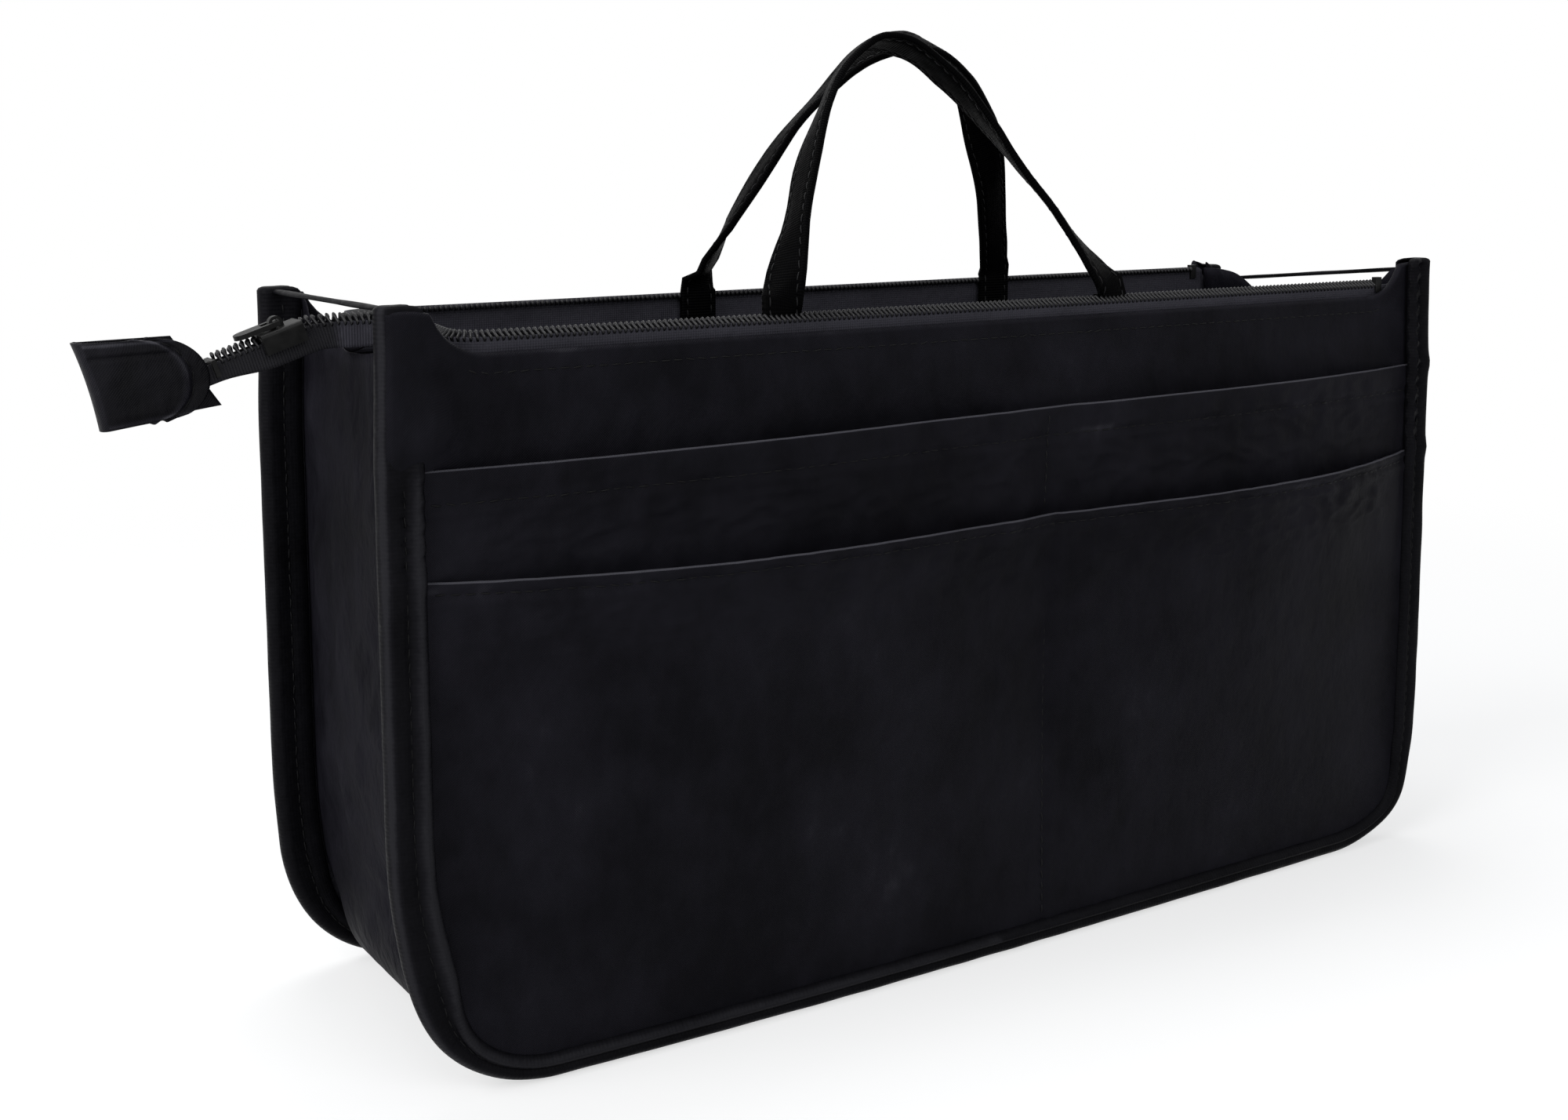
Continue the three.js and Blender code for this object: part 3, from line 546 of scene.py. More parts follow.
# Thread, coil, cast metal and foam: a fine grain, on the metal with drawn scratches
def grainFinish(name):
    finish, look = newFinish(name), grainLooks[name]
    place = finish.place()
    grain = finish.noise(place, *look["grain"])
    base, gain = look["rough"]
    relief, rough = grain, base + grain * gain
    if "scratch" in look:
        relief = finish.noise(place, *look["scratch"])
        rough = rough + relief * gain
    dark, light = look["tones"]
    colour = finish.ramp(grain, [(0.3, dark), (0.7, light)])
    values = {"Base Color": colour, "Roughness": rough, "IOR": look["index"]}
    values["Metallic"] = look.get("metallic", 0.0)
    if "relief" in look:
        values["Normal"] = finish.bump(relief, look["relief"])
    return finish.output(finish.node("ShaderNodeBsdfPrincipled", None, values))


shellNylon, gussetNylon, liningNylon, tabNylon = map(nylonFinish, ("shell", "gusset", "lining", "tab"))
bindingTape, strapCloth, zipperTape = map(tapeFinish, ("binding_tape", "strap_webbing", "zipper_tape"))
sewingThread, zipperCoil, darkMetal, foam = map(grainFinish, grainLooks)
print("finishes made")


def settle(piece, nodes=(), body="body"):
    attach(piece, body)
    if nodes:
        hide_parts(*nodes)
    return piece


# Height of a rounded corner over its centre: full along the middle, 0 at the edge
def arcAt(x, edge, radius):
    past = np.clip(np.abs(x) - (edge - radius), 0, radius)
    return np.sqrt(np.maximum(radius**2 - past**2, 0))


# Lower edge of a panel's cloth, hidden under the binding
def footAt(x):
    return corner - arcAt(x, halfLength - bodyCut["footIn"], corner - bodyCut["footIn"])


# Edge of the binding over the panel: where cloth comes free of the seam
def openFootAt(x):
    return corner - arcAt(x, seamInner, corner - bodyCut["bindingFoot"])


# Top edge of a panel, run up into the horns
def topEdgeAt(x):
    fillet = bodyCut["edgeFillet"]
    return np.minimum(panelTop + fillet - arcAt(x, seamInner, fillet), hornTop - bodyCut["hornPlay"])


def clothColumns(step):
    reach = halfLength - bodyCut["seamIn"]
    return np.linspace(-reach, reach, int(2 * reach / step) + 1)


# Rows of a cloth and their painted highlight: up its face, rolled over its top edge and down behind it as a
# hem
def hemmedRows(cut, surface, columns, foot, top, roll=0, hems=(), paintedLight=None, straight=False):
    rows, folds = [], []

    def add(y, z, pale):
        rows.append(xyz(columns, y, z))
        folds.append(pale + 0 * columns)

    for share in np.concatenate([np.linspace(*span) for span in cut["rows"]]):
        z = foot + share * (top - foot)
        add(surface(columns, z), z, paintedLight(z) if paintedLight else 0)
    edge = surface(columns, top)
    for degrees, pale in cut["edge"]:
        angle = math.radians(degrees)
        add(edge + roll * (1 - math.cos(angle)), top + abs(roll) * math.sin(angle), pale)
    for hem in hems:
        add((edge if straight else surface(columns, top - hem)) + 2 * roll, top - hem, 0)
    return np.array(rows), np.array(folds)


pockets = {
    "tall": {"mouth": (130.6, 132.2, 134.0), "gape": 6.0, "hem": 7.0, "seed": 11},
    "short": {"mouth": (108.6, 107.2, 110.4), "gape": 6.0, "hem": 2.6, "seed": 23},
    "seamPlay": 0.5,
    "play": 0.4,
    "ease": 0.6,  # share of the swell that is left at the divider's top
    "swellBend": 1.2,  # how a pocket opens towards its mouth
    "waves": ((0.7, 62, 44), (0.35, 24, 30)),
    "pucker": 0.5,  # small gathers at the hem
    "crinkle": 0.6,  # short creases under the hem
    "drag": 1.2,  # folds that start at the divider
    "endCrease": 0.9,  # folds at the right end
    "endAt": ((126, 17), (78, 34)),
    "fine": 0.12,
    "fullest": 3,  # furthest that the waves stand out
    "fill": 0.45,  # share of the room behind that the waves may use
    "groove": 0.4, "puff": 0.25, "welt": 0.3,  # of a hem: its seam, the band above and the ridge below
    "dividerGroove": 0.45, "dividerWelt": 0.2,
    "roll": 0.45,
    "rows": ((0, 0.84, 46), (0.85, 1, 30)),  # shares of the height
    "edge": ((36, 0.9), (72, 0.9), (108, 0.9), (144, 0.9), (180, 0.4)),  # turn and painted highlight over the rolled mouth
    "pale": 0.16,  # painted highlight along the hem's seam
    "ply": 0.28,
}


# Height of a mouth, through its left end, middle and right end
def mouthAt(kind, x):
    left, middle, right = pockets[kind]["mouth"]
    share = x / seamInner
    return middle + (right - left) / 2 * share + ((right + left) / 2 - middle) * share**2


# Swell of a pocket across it, from seam to seam, and up it, from its foot to its mouth
def swellForms(share, z, foot, mouth):
    across = 1 - (2 * np.clip(share, 0, 1) - 1) ** 2
    return across, np.clip((z - foot) / (mouth - foot), 0, 1.1) ** pockets["swellBend"]


# How far a pocket stands out: 0 at its seams, 1 in the middle of its two mouths
def swellAt(kind, x, z):
    side = seamInner - pockets["seamPlay"]
    foot = openFootAt(x) + pockets["seamPlay"]
    share = np.where(x < divider, (x + side) / (divider + side), (side - x) / (side - divider))
    across, up = swellForms(share, z, foot, mouthAt(kind, x))
    eased = across + pockets["ease"] * (1 - across) * bump(x - divider, 45) * up**3
    return eased * up


def gapeAt(kind, x, z):
    return pockets[kind]["gape"] * swellAt(kind, x, z)


# Cloth movement of a pocket: broad waves, gathers under the hem, folds from the divider and the right end
def clothWaves(kind, x, z, seed):
    mouth = mouthAt(kind, x)
    loose = smooth((seamInner - 1 - np.abs(x)) / 14) * smooth((z - openFootAt(x) - 1) / 16)
    reach = np.abs(x - divider)
    sewn = smooth(reach / 12)
    broad = waveSum(pockets["waves"], x, z, seed)
    below = mouth - pockets[kind]["hem"] - z
    hemBand = bump(below, 9) * smooth((mouth - z) / 2.5)
    gather = pockets["pucker"] * hemBand * softNoise(x / 4, z / 9, seed + 2)
    crinkle = pockets["crinkle"] * (creases(x / 8, z / 4, seed + 3, 2) - 0.3) * bump(below - 6, 11)
    fromDivider = bump(reach - 9, 13) * bump(mouth - 12 - z, 26)
    drag = pockets["drag"] * fromDivider * softNoise((x - z * 0.8) / 10, (x + z) / 34, seed + 4)
    folds = creases((x * 0.9 + z * 0.35) / 21, (z - x * 0.3) / 52, seed + 5, 2) - 0.3
    atEnd = pockets["endCrease"] * spotAt(x, z, pockets["endAt"]) * folds
    fine = pockets["fine"] * creases(x / 15, z / 12, seed + 6, 3)
    return (broad * sewn + gather + crinkle * sewn + drag + atEnd + fine * sewn) * loose


def hemForm(kind, x, z):
    below, hem = mouthAt(kind, x) - z, pockets[kind]["hem"]
    groove = -pockets["groove"] * bump(below - hem, 0.8)
    puff = pockets["puff"] * smooth(below / 1.2) * smooth((hem - below) / 1.4)
    return groove + puff + pockets["welt"] * bump(below - hem - 1.9, 1.0)


def dividerForm(x):
    groove = pockets["dividerGroove"] * bump(x - divider, 0.9)
    return pockets["dividerWelt"] * bump(x - divider - 2.4, 1.2) - groove


# Room for waves between the two outer pockets
def pocketRoom(x, z):
    return pockets["fill"] * (pockets["play"] + gapeAt("short", x, z))


def tallSurface(seed):
    def surface(x, z):
        swell = gapeAt("tall", x, z)
        waves = clothWaves("tall", x, z, seed) + hemForm("tall", x, z)
        ahead = np.where(z > mouthAt("short", x), pockets["fullest"], pocketRoom(x, z))
        waves = np.clip(waves, -pockets["fill"] * (bodyCut["plyGap"] + swell), ahead)
        return -outerPlane + (tallDepth - swell) - waves
    return surface


def shortSurface(seed):
    def surface(x, z):
        behind = gapeAt("tall", x, z)
        flat = shortDepth - behind - np.minimum(pockets["play"], behind)
        waves = clothWaves("short", x, z, seed) + hemForm("short", x, z) + dividerForm(x)
        waves = np.clip(waves, -pocketRoom(x, z), pockets["fullest"])
        return -outerPlane + flat - gapeAt("short", x, z) - waves
    return surface


def outerPockets(side, turn, seed):
    columns = clothColumns(1.5)
    for kind, surface in (("tall", tallSurface(seed + 100)), ("short", shortSurface(seed))):
        roll, hem = pockets["roll"], pockets[kind]["hem"]
        mouth = mouthAt(kind, columns) - roll

        # painted highlight in patches along the hem's seam
        def paintedLight(z):
            patchy = np.clip(0.5 + softNoise(columns / 11, z / 30, pockets[kind]["seed"]), 0, 1)
            return pockets["pale"] * patchy * bump(mouth - z - hem + 1.1, 0.9)

        hems = np.linspace(0.15, 1, 7) * (hem + 1)
        grid, fold = hemmedRows(pockets, surface, columns, footAt(columns), mouth, roll, hems, paintedLight)
        name = f"{side}_{kind}_pocket"
        cloth = gridPiece(name + "_cloth", grid, shellNylon, pockets["ply"], turn, fold=fold)
        settle(cloth, [name])
        inner = np.arange(-seamInner + 1, seamInner - 1, 1.0)
        hemLine = onSurface(surface, inner, mouthAt(kind, inner) - hem)
        low = mouthAt("short", divider) + 0.5 if kind == "tall" else openFootAt(divider) + 1
        upwards = np.arange(low, mouthAt(kind, divider) - 0.8, 1.0)
        sewn = [hemLine, onSurface(surface, divider, upwards)]
        sewing = settle(stitching(name + "_stitches", sewn, turn))
        (float(mouthAt(kind, 0.0)) + hem) * mm
    print(side, "outer pockets sewn")


panelLooks = {
    "waves": ((0.45, 55, 16), (0.2, 17, 12)),
    "topRoll": 1.05, "hemBack": 2.6, "topStitch": 4.0, "sunk": 0.35,
    "looseFrom": (112, 14),
    "overlap": 2.45,  # how far the cloth rises to lie over the edge above the pockets
    "overlapFrom": (126, 15),
    "overEdge": 0.5, "overEdgeFrom": (147.2, 1.6),
    # upper left, where the cloth is drawn over the edge; its pale spot is a painted highlight where the light
    # from the left falls
    "gather": 0.3, "gatherAt": ((-142, 6), (146, 7)),
    "puff": 1.4, "puffAt": ((-137, 8), (138, 6)),
    "pale": 0.16, "paleAt": ((-139, 7), (139, 6)),
    "rows": ((0, 0.7, 22), (0.72, 1, 26)),
    # turn and painted highlight over the rolled top edge
    "edge": [(degrees, 0.1) for degrees in (25, 50, 75, 100, 130, 160, 180)],
    "least": 0.1, "fullest": 4,  # how far the waves sink in and stand out
    "ply": 0.3,
}


# Where the panel's cloth lies over its left binding: above the tall mouth, along a slanted line
def overBinding(x, z, inset):
    return smooth((z - mouthAt("tall", x) + 0.7 * inset + 3) / 9) * (x < 0)


def shellSurface(seed):
    def surface(x, z):
        reach = np.abs(x)
        above = overBinding(x, z, reach - seamInner)
        loose = smooth((seamInner - reach) / 10) * ramped(z, panelLooks["looseFrom"])
        waves = waveSum(panelLooks["waves"], x, z, seed)
        over = panelLooks["overlap"] * ramped(reach, panelLooks["overlapFrom"])
        over = over - panelLooks["overEdge"] * ramped(reach, panelLooks["overEdgeFrom"])
        pleats = np.sin(x * 4.1 + softNoise(x / 5, z / 12, seed + 2))
        gathers = panelLooks["gather"] * spotAt(x, z, panelLooks["gatherAt"]) * pleats
        puff = panelLooks["puff"] * spotAt(x, z, panelLooks["puffAt"])
        sunk = panelLooks["sunk"] * bump(topEdgeAt(x) - panelLooks["topStitch"] - z, 1.0)
        form = (waves - sunk) * loose + over * above + gathers + puff
        return -outerPlane + shellDepth - np.clip(form, -panelLooks["least"], panelLooks["fullest"])
    return surface


# A panel's outer cloth, rolled over its top edge to the inside
def panelShell(side, turn, seed):
    columns, surface, roll = clothColumns(1.5), shellSurface(seed), panelLooks["topRoll"]

    # painted highlight at the upper left
    def paintedLight(z):
        return panelLooks["pale"] * spotAt(columns, z, panelLooks["paleAt"])

    foot, top = footAt(columns), topEdgeAt(columns) - roll
    hems = (panelLooks["hemBack"] / 2, panelLooks["hemBack"])
    grid, fold = hemmedRows(panelLooks, surface, columns, foot, top, roll, hems, paintedLight, straight=True)
    name = f"{side}_panel_shell"
    cloth = gridPiece(name + "_cloth", grid, shellNylon, panelLooks["ply"], turn, fold=fold)
    settle(cloth, [name])
    along = np.arange(-seamInner + 9, seamInner - 9, 1.0)
    topLine = onSurface(surface, along, topEdgeAt(along) - panelLooks["topStitch"])
    sewing = settle(stitching(name + "_stitches", [topLine], turn))
    print(side, "panel covered")


board = {"margin": 11, "round": 0.4}


# The foam board inside a panel, with softened edges
def panelBoard(side, turn):
    soft, radius = board["round"], corner - board["margin"]
    columns = np.linspace(boardLow[0], boardHigh[0], 121)
    foot = boardLow[2] + radius - arcAt(columns, boardHigh[0], radius)
    edges = [(boardLow[1], soft), (boardLow[1] + soft, 0), (boardHigh[1] - soft, 0), (boardHigh[1], soft)]
    loop = [xyz(columns, y, foot + inset) for y, inset in edges]
    loop += [xyz(columns, y, boardHigh[2] - inset) for y, inset in edges[::-1]]
    name = f"{side}_panel_stiffener"
    piece = gridPiece(name + "_board", np.array(loop).transpose(1, 0, 2), foam, 0, turn, closed=True)
    settle(piece, [name])


lining = {
    "waves": ((0.35, 40, 14),), "least": 0.1, "fullest": 0.6, "topPlay": 0.4, "ply": 0.28,
    "rows": ((0, 1, 46),), "edge": (),
}


def liningSurface(seed):
    def surface(x, z):
        loose = smooth((118 - np.abs(x)) / 12) * smooth((z - innerHigh[2] - 4) / 10)
        waves = waveSum(lining["waves"], x, z, seed) * loose
        return liningFace + np.clip(waves, -lining["least"], lining["fullest"])
    return surface


def panelLining(side, turn, seed):
    columns = clothColumns(3.0)[::-1]
    top = topEdgeAt(columns) - panelLooks["topRoll"] - panelLooks["hemBack"] - lining["topPlay"]
    grid = hemmedRows(lining, liningSurface(seed), columns, footAt(columns), top)[0]
    name = f"{side}_panel_lining"
    cloth = settle(gridPiece(name + "_cloth", grid, liningNylon, lining["ply"], turn), [name])


innerPocket = {
    "seam": 4.0, "gape": 5.5, "hem": 9.0, "roll": 0.4, "sewnIn": 2.0, "play": 0.4, "ply": 0.25,
    "waves": ((0.7, 36, 30), (0.25, 10, 14)), "pucker": 0.2, "groove": 0.25, "fullest": 2, "fill": 0.4,
    # edge: turn and painted highlight over the rolled mouth
    "rows": ((0, 0.8, 30), (0.82, 1, 16)), "edge": [(degrees, 0.8) for degrees in (45, 90, 135, 180)],
}


def innerSurface(seed):
    half, foot, mouth = innerHigh[0] - innerPocket["seam"], innerLow[2] + innerPocket["seam"], innerHigh[2]

    def surface(x, z):
        across, up = swellForms(1 - np.abs(x) / half, z, foot, mouth)
        loose = smooth((half - np.abs(x)) / 14) * smooth((z - foot) / 18) * smooth(np.abs(x) / 10)
        below = mouth - innerPocket["hem"] - z
        waves = waveSum(innerPocket["waves"], x, z, seed)
        waves += innerPocket["pucker"] * bump(below, 7) * softNoise(x / 5, z / 8, seed + 2)
        waves -= innerPocket["groove"] * bump(below, 0.9)
        swell = innerPocket["gape"] * across * up
        waves = np.clip(waves * loose, -innerPocket["fill"] * swell, innerPocket["fullest"])
        return innerLow[1] + innerPocket["play"] + swell + waves
    return surface


# The slip pocket inside a panel: sewn round its sides and foot and down its middle
def insidePocket(side, turn, seed):
    surface, columns = innerSurface(seed), np.linspace(innerHigh[0], innerLow[0], 139)
    roll, hem, foot = innerPocket["roll"], innerPocket["hem"], innerLow[2]
    mouth = innerHigh[2] - roll
    hems = np.linspace(0.2, 1, 5) * (hem + 1)
    grid, fold = hemmedRows(innerPocket, surface, columns, foot, mouth, -roll, hems)
    name = f"{side}_inner_pocket"
    cloth = gridPiece(name + "_cloth", grid, liningNylon, innerPocket["ply"], turn, fold=fold)
    settle(cloth, [name])
    inset = innerPocket["sewnIn"]
    across = np.arange(innerLow[0] + inset, innerHigh[0] - inset, 1.0)
    upwards = np.arange(foot + inset, mouth - 0.5, 1.0)
    lines = [onSurface(surface, across, foot + inset), onSurface(surface, across, mouth - hem)]
    for x in (innerLow[0] + inset, 0.0, innerHigh[0] - inset):
        lines.append(onSurface(surface, x, upwards))
    sewing = settle(stitching(name + "_stitches", [(points, -facing) for points, facing in lines], turn))
    (mouth - foot + hem) * mm
    print(side, "lining and inner pocket sewn")


binding = {
    "ridge": 0.95,  # raised inner edge
    "ridgeFrom": 1.8,  # of its crest from the inner edge
    "groove": 0.7,
    "grooveFrom": 4.2,
    "backSeam": 0.3,
    "underCloth": 0.35,  # where the panel's cloth lies over it
    "wander": 0.16,
    "lump": 0.55,  # where it passes over a pocket's mouth
    "lumpReach": 2.2,
    "twist": 0.55,  # cord-like turns between the two mouths
    "turn": 4.6,
    "pale": (0.75, 0.12),  # painted highlight on the ridge and the outer edge, left and right, stronger on the left where the light comes from
    "facePoints": 8, "frontPoints": 12,  # of the section, counted from its inner edge
    "lowest": 0.02,  # above the ground
    "step": 1.6,
    "ply": 0.55,
    # drop and width of the rows that close a horn's top
    "closing": ((0.9, 1.0), (0.35, 0.9), (0.05, 0.7), (0.0, 0.35), (0.0, 0.03)),
}


# Outline of a panel from the left horn down, round the base and up: points, inward directions, path lengths
def panelOutline(step):
    rise, arc = hornTop - corner, corner * math.pi / 2
    total = 2 * (rise + arc + halfLength - corner)
    s = np.linspace(0, total, int(total / step) + 1)
    near, side = np.minimum(s, total - s), np.where(s < total / 2, -1, 1)  # from the nearer horn
    angle = np.clip((near - rise) / corner, 0, math.pi / 2)
    out = np.stack([side * np.cos(angle), -np.sin(angle)], -1)
    x = side * (halfLength - corner - np.maximum(near - rise - arc, 0))
    z = corner + np.maximum(rise - near, 0)
    return np.stack([x, z], -1) + corner * out, -out, s


def grooveAt(width):
    return width - binding["grooveFrom"] * width / bodyCut["bindingWidth"]


# Section of a binding: from its front inner edge over the rolled outer edge to its back inner edge
def bindingSection(width):
    crest, dip, half = width - binding["ridgeFrom"], grooveAt(width), bindDepth / 2
    face = [(width, 1.25), (width - 0.25, 0.45), (width - 0.8, -0.25), (crest, -binding["ridge"])]
    face += [(crest - 0.9, -0.2), (dip + 0.45, 0.3), (dip, binding["groove"]), (dip - 0.5, 0.25)]
    angles = np.linspace(0.1, math.pi - 0.1, 13)
    roll = [(half * 0.75 * (1 - math.sin(a)), half - half * math.cos(a)) for a in angles]
    back = [(dip - 0.5, bindDepth - 0.2), (dip, bindDepth - 0.35), (dip + 0.5, bindDepth - 0.2)]
    back += [(crest, bindDepth + 0.1), (width - 0.3, bindDepth - 0.1), (width, bindDepth - 0.5)]
    return np.array(face + roll + back)


def edgeBinding(side, turn, seed):
    points, inwards, s = panelOutline(binding["step"])
    level = 1 - smooth((points[:, 1] - 2) / (corner * 0.8))
    widths = bodyCut["bindingWidth"] + (bodyCut["bindingFoot"] - bodyCut["bindingWidth"]) * level
    q, d = np.array([bindingSection(width) for width in widths]).transpose(2, 0, 1)
    k, (x, z), (inX, inZ) = np.arange(q.shape[1]), points.T[..., None], inwards.T[..., None]
    plain = overBinding(x, z, bodyCut["bindingWidth"] - q)
    tall, short = mouthAt("tall", x), mouthAt("short", x)
    between = smooth((z - short) / 4) * (1 - plain) * (z > corner)
    onFace = k < binding["facePoints"]
    cord = np.sin(2 * np.pi * (s[:, None] / binding["turn"] + k / 7)) * onFace * (k > 0)
    under = d * (1 - plain) + binding["underCloth"] * plain
    d = np.where(onFace, under, d) - binding["twist"] * between * cord
    waver = binding["wander"] * softNoise(s[:, None] / 9, k / 7, seed)
    lumps = bump(z - tall, binding["lumpReach"]) + bump(z - short, binding["lumpReach"])
    ahead = (k < binding["frontPoints"]) * binding["lump"] * lumps
    q = q + 0.5 * waver * (q > 1.5)
    up = np.maximum(z + inZ * q, binding["lowest"])
    grid = xyz(x + inX * q, -outerPlane + d - waver - ahead, up)
    grid = np.concatenate([closedTop(grid[0])[::-1], grid[1:-1], closedTop(grid[-1])])
    # painted highlight on the ridge and the rolled outer edge
    paintedLight = bump(k - 3, 1.2) * (1 - plain) + bump(k - 11, 1.5)
    spare = len(binding["closing"]) - 1
    fold = np.pad(np.where(x < 0, *binding["pale"]) * paintedLight, ((spare, spare), (0, 0)), mode="edge")
    name = f"{side}_edge_binding"
    tape = gridPiece(name + "_tape", grid, bindingTape, binding["ply"], turn, fold=fold)
    settle(tape, [name])
    low = points[:, 1] < min(pockets["tall"]["mouth"]) - 2
    sewn = points + inwards * grooveAt(widths)[:, None]
    seam = np.insert(sewn, 1, -outerPlane + binding["groove"] - 0.05, axis=1)
    behind = np.insert(sewn, 1, -outerPlane + bindDepth - binding["backSeam"], axis=1)
    settle(stitching(name + "_stitches", [(seam[low], (0, -1, 0)), (behind[2:-2], (0, 1, 0))], turn))
    print(side, "edge bound")


# The last rows of a binding, drawn together over the top of its horn
def closedTop(row):
    middle = row.mean(axis=0)
    rows = []
    for drop, shrink in binding["closing"]:
        drawn = middle + (row - middle) * (shrink, shrink, 1)
        drawn[:, 2] = hornTop - drop
        rows.append(drawn)
    return rows


gussetCut = {
    "play": 0.3, "bulge": 1.5, "rim": 2.5, "baseFlat": 24, "seamIn": 1.2,
    "leftDip": 9, "rightDip": 16, "rightHollow": 5.0,  # top edges between the horns
    "crinkle": 1.15, "onBase": 0.93,  # how much of it the base loses
    "creases": 0.5, "ripple": 0.22, "rimPale": 0.15, "seed": 57, "ply": 0.35,
}


# The strip round the ends and the base, with its top edges dipped between the horns
def gussetStrip():
    play, sag = gussetCut["play"], bodyCut["bindingFoot"] + gussetCut["play"]
    webY, radius = outerPlane - bindDepth - play, corner - bodyCut["bindingFoot"]
    y = np.linspace(-1, 1, 47) * (webY + gussetCut["seamIn"])
    outward = np.minimum(np.abs(y) / webY, 1)
    swell = smooth((1 - outward) / (1 - gussetCut["baseFlat"] / webY))
    dip = 1 - outward**2
    hollow = np.where(y > 0, dip ** gussetCut["rightHollow"], dip)
    # down the left end, round its corner, along the base and up the right end
    legs, arcs, flat = np.linspace(1, 0, 58)[:-1], np.linspace(0, 1, 22), np.linspace(-1, 1, 106)[1:-1]
    up = np.concatenate([legs, 0 * arcs, 0 * flat, 0 * arcs, legs[::-1]])[:, None]
    bent = np.concatenate([0 * legs, arcs, 0 * flat + 1, arcs[::-1], 0 * legs])[:, None]
    across = np.concatenate([0 * legs - 1, 0 * arcs - 1, flat, 0 * arcs + 1, 0 * legs + 1])[:, None]
    bulge = gussetCut["bulge"] * np.sin(np.pi * (1 - up))
    arm = radius - play + (sag * smooth(bent * 1.5) + bulge) * swell
    rim = np.where(across < 0, gussetCut["leftDip"] * dip, gussetCut["rightDip"] * hollow)
    angle, side = bent * np.pi / 2, np.where(across < 0, -1, 1)
    out = xyz(side * np.cos(angle), 0, -np.sin(angle))
    level = corner + up * (hornTop - gussetCut["rim"] - rim - corner)
    centre = xyz(across * (seamInner - radius), y, level)
    grid = centre + arm[..., None] * out
    along = lengthsAlong(grid, 0)[:, None]
    onBase = smooth((30 - grid[..., 2]) / 24)
    free = smooth((webY - np.abs(y)) / 6)[None]
    seed = gussetCut["seed"]
    waves = 0.8 * softNoise(along / 34, y / 21 + 9, seed) + 0.5 * softNoise(along / 15, y / 8, seed + 1)
    waves += gussetCut["creases"] * (creases(along / 17, y / 11, seed + 2, 2) - 0.35)
    waves += gussetCut["ripple"] * softNoise(along / 5, y / 4, seed + 3)
    waves = gussetCut["crinkle"] * waves * free * (1 - gussetCut["onBase"] * onBase)
    grid = grid + out * waves[..., None]
    grid[..., 2] = np.maximum(grid[..., 2], 0)
    fold = np.zeros(grid.shape[:2])
    # painted highlight along its two top edges
    fold[:2] = fold[-2:] = gussetCut["rimPale"]
    cloth = gridPiece("gusset_cloth", grid, gussetNylon, gussetCut["ply"], fold=fold)
    settle(cloth, ["gusset"])
    2 * webY * mm
    print("gusset made")


tie = {
    "sides": 12, "thick": 1.1, "lowered": {"left": 0.0, "right": 2.0}, "slack": 0.18,
    "past": 1.03,  # its ends run into the horns
    "turn": 0.25,  # how far it twists to and fro
}


# A narrow tape from horn to horn at one end, lower at the back where it is loose
def tieTape(side):
    low, high = boxMm(f"{side}_tie_tape")
    middle, half, thick = (low[0] + high[0]) / 2, (high[0] - low[0]) / 2, tie["thick"]
    sag = high[2] - low[2] - thick
    angle = np.arange(tie["sides"]) * 2 * np.pi / tie["sides"]
    shares = np.linspace(-tie["past"], tie["past"], 45)
    level = high[2] - thick / 2 - tie["lowered"][side] - sag * tie["slack"] * (1 + shares)
    path = xyz(middle, shares * high[1], level)
    shift = settled(path) - path  # the tape is drawn straight between the settled horns
    path += shift[0] + (shift[-1] - shift[0]) * np.linspace(0, 1, len(path))[:, None] - shift
    w, h = half * np.cos(angle), thick / 2 * np.sin(angle)
    rows = []
    for share, (x, y, z) in zip(shares, path):
        roll = tie["turn"] * math.sin(share * 5 + middle)
        out, up = turned(w, h, roll)
        rows.append(xyz(x + out, y, z + up))
    tape = gridPiece(f"{side}_tie_tape_cloth", np.array(rows), bindingTape, closed=True)
    settle(tape, [f"{side}_tie_tape"])


handle = {
    "width": 10, "thickness": 1.6, "span": 95, "offset": 8.5, "footLength": 33, "crownPlay": 0.3,
    "bend": 3.0,  # reach above and below its seam; nothing here bends the strap by it
    "stitchAt": 3.4, "stitchSink": 0.1, "groove": 0.24, "fullness": 0.16, "edge": 0.45, "edgeIn": 0.12,
    "slack": 0.5, "waver": 0.07, "crease": 0.09,
}
# Control points of each strap's legs, from the middle between its feet, and how its cloth turns along
# each leg: degrees from flat over the crown, at the shares of the rise in strapKnots
strapShapes = {
    "front": {
        "left": (3.6, 118.2), "right": (17.8, 50.3),
        "turns": ((90, 40, -10, 16, -16, 10), (90, 68, 42, 46, 18, 10)),
    },
    "back": {
        "left": (-24.3, 69.7), "right": (16.2, 105.7),
        "turns": ((90, 104, 101, 98, 23, 0), (90, 42, 34, 12, 36, 0)),
    },
}
strapKnots = (0, 0.04, 0.2, 0.45, 0.75, 1)


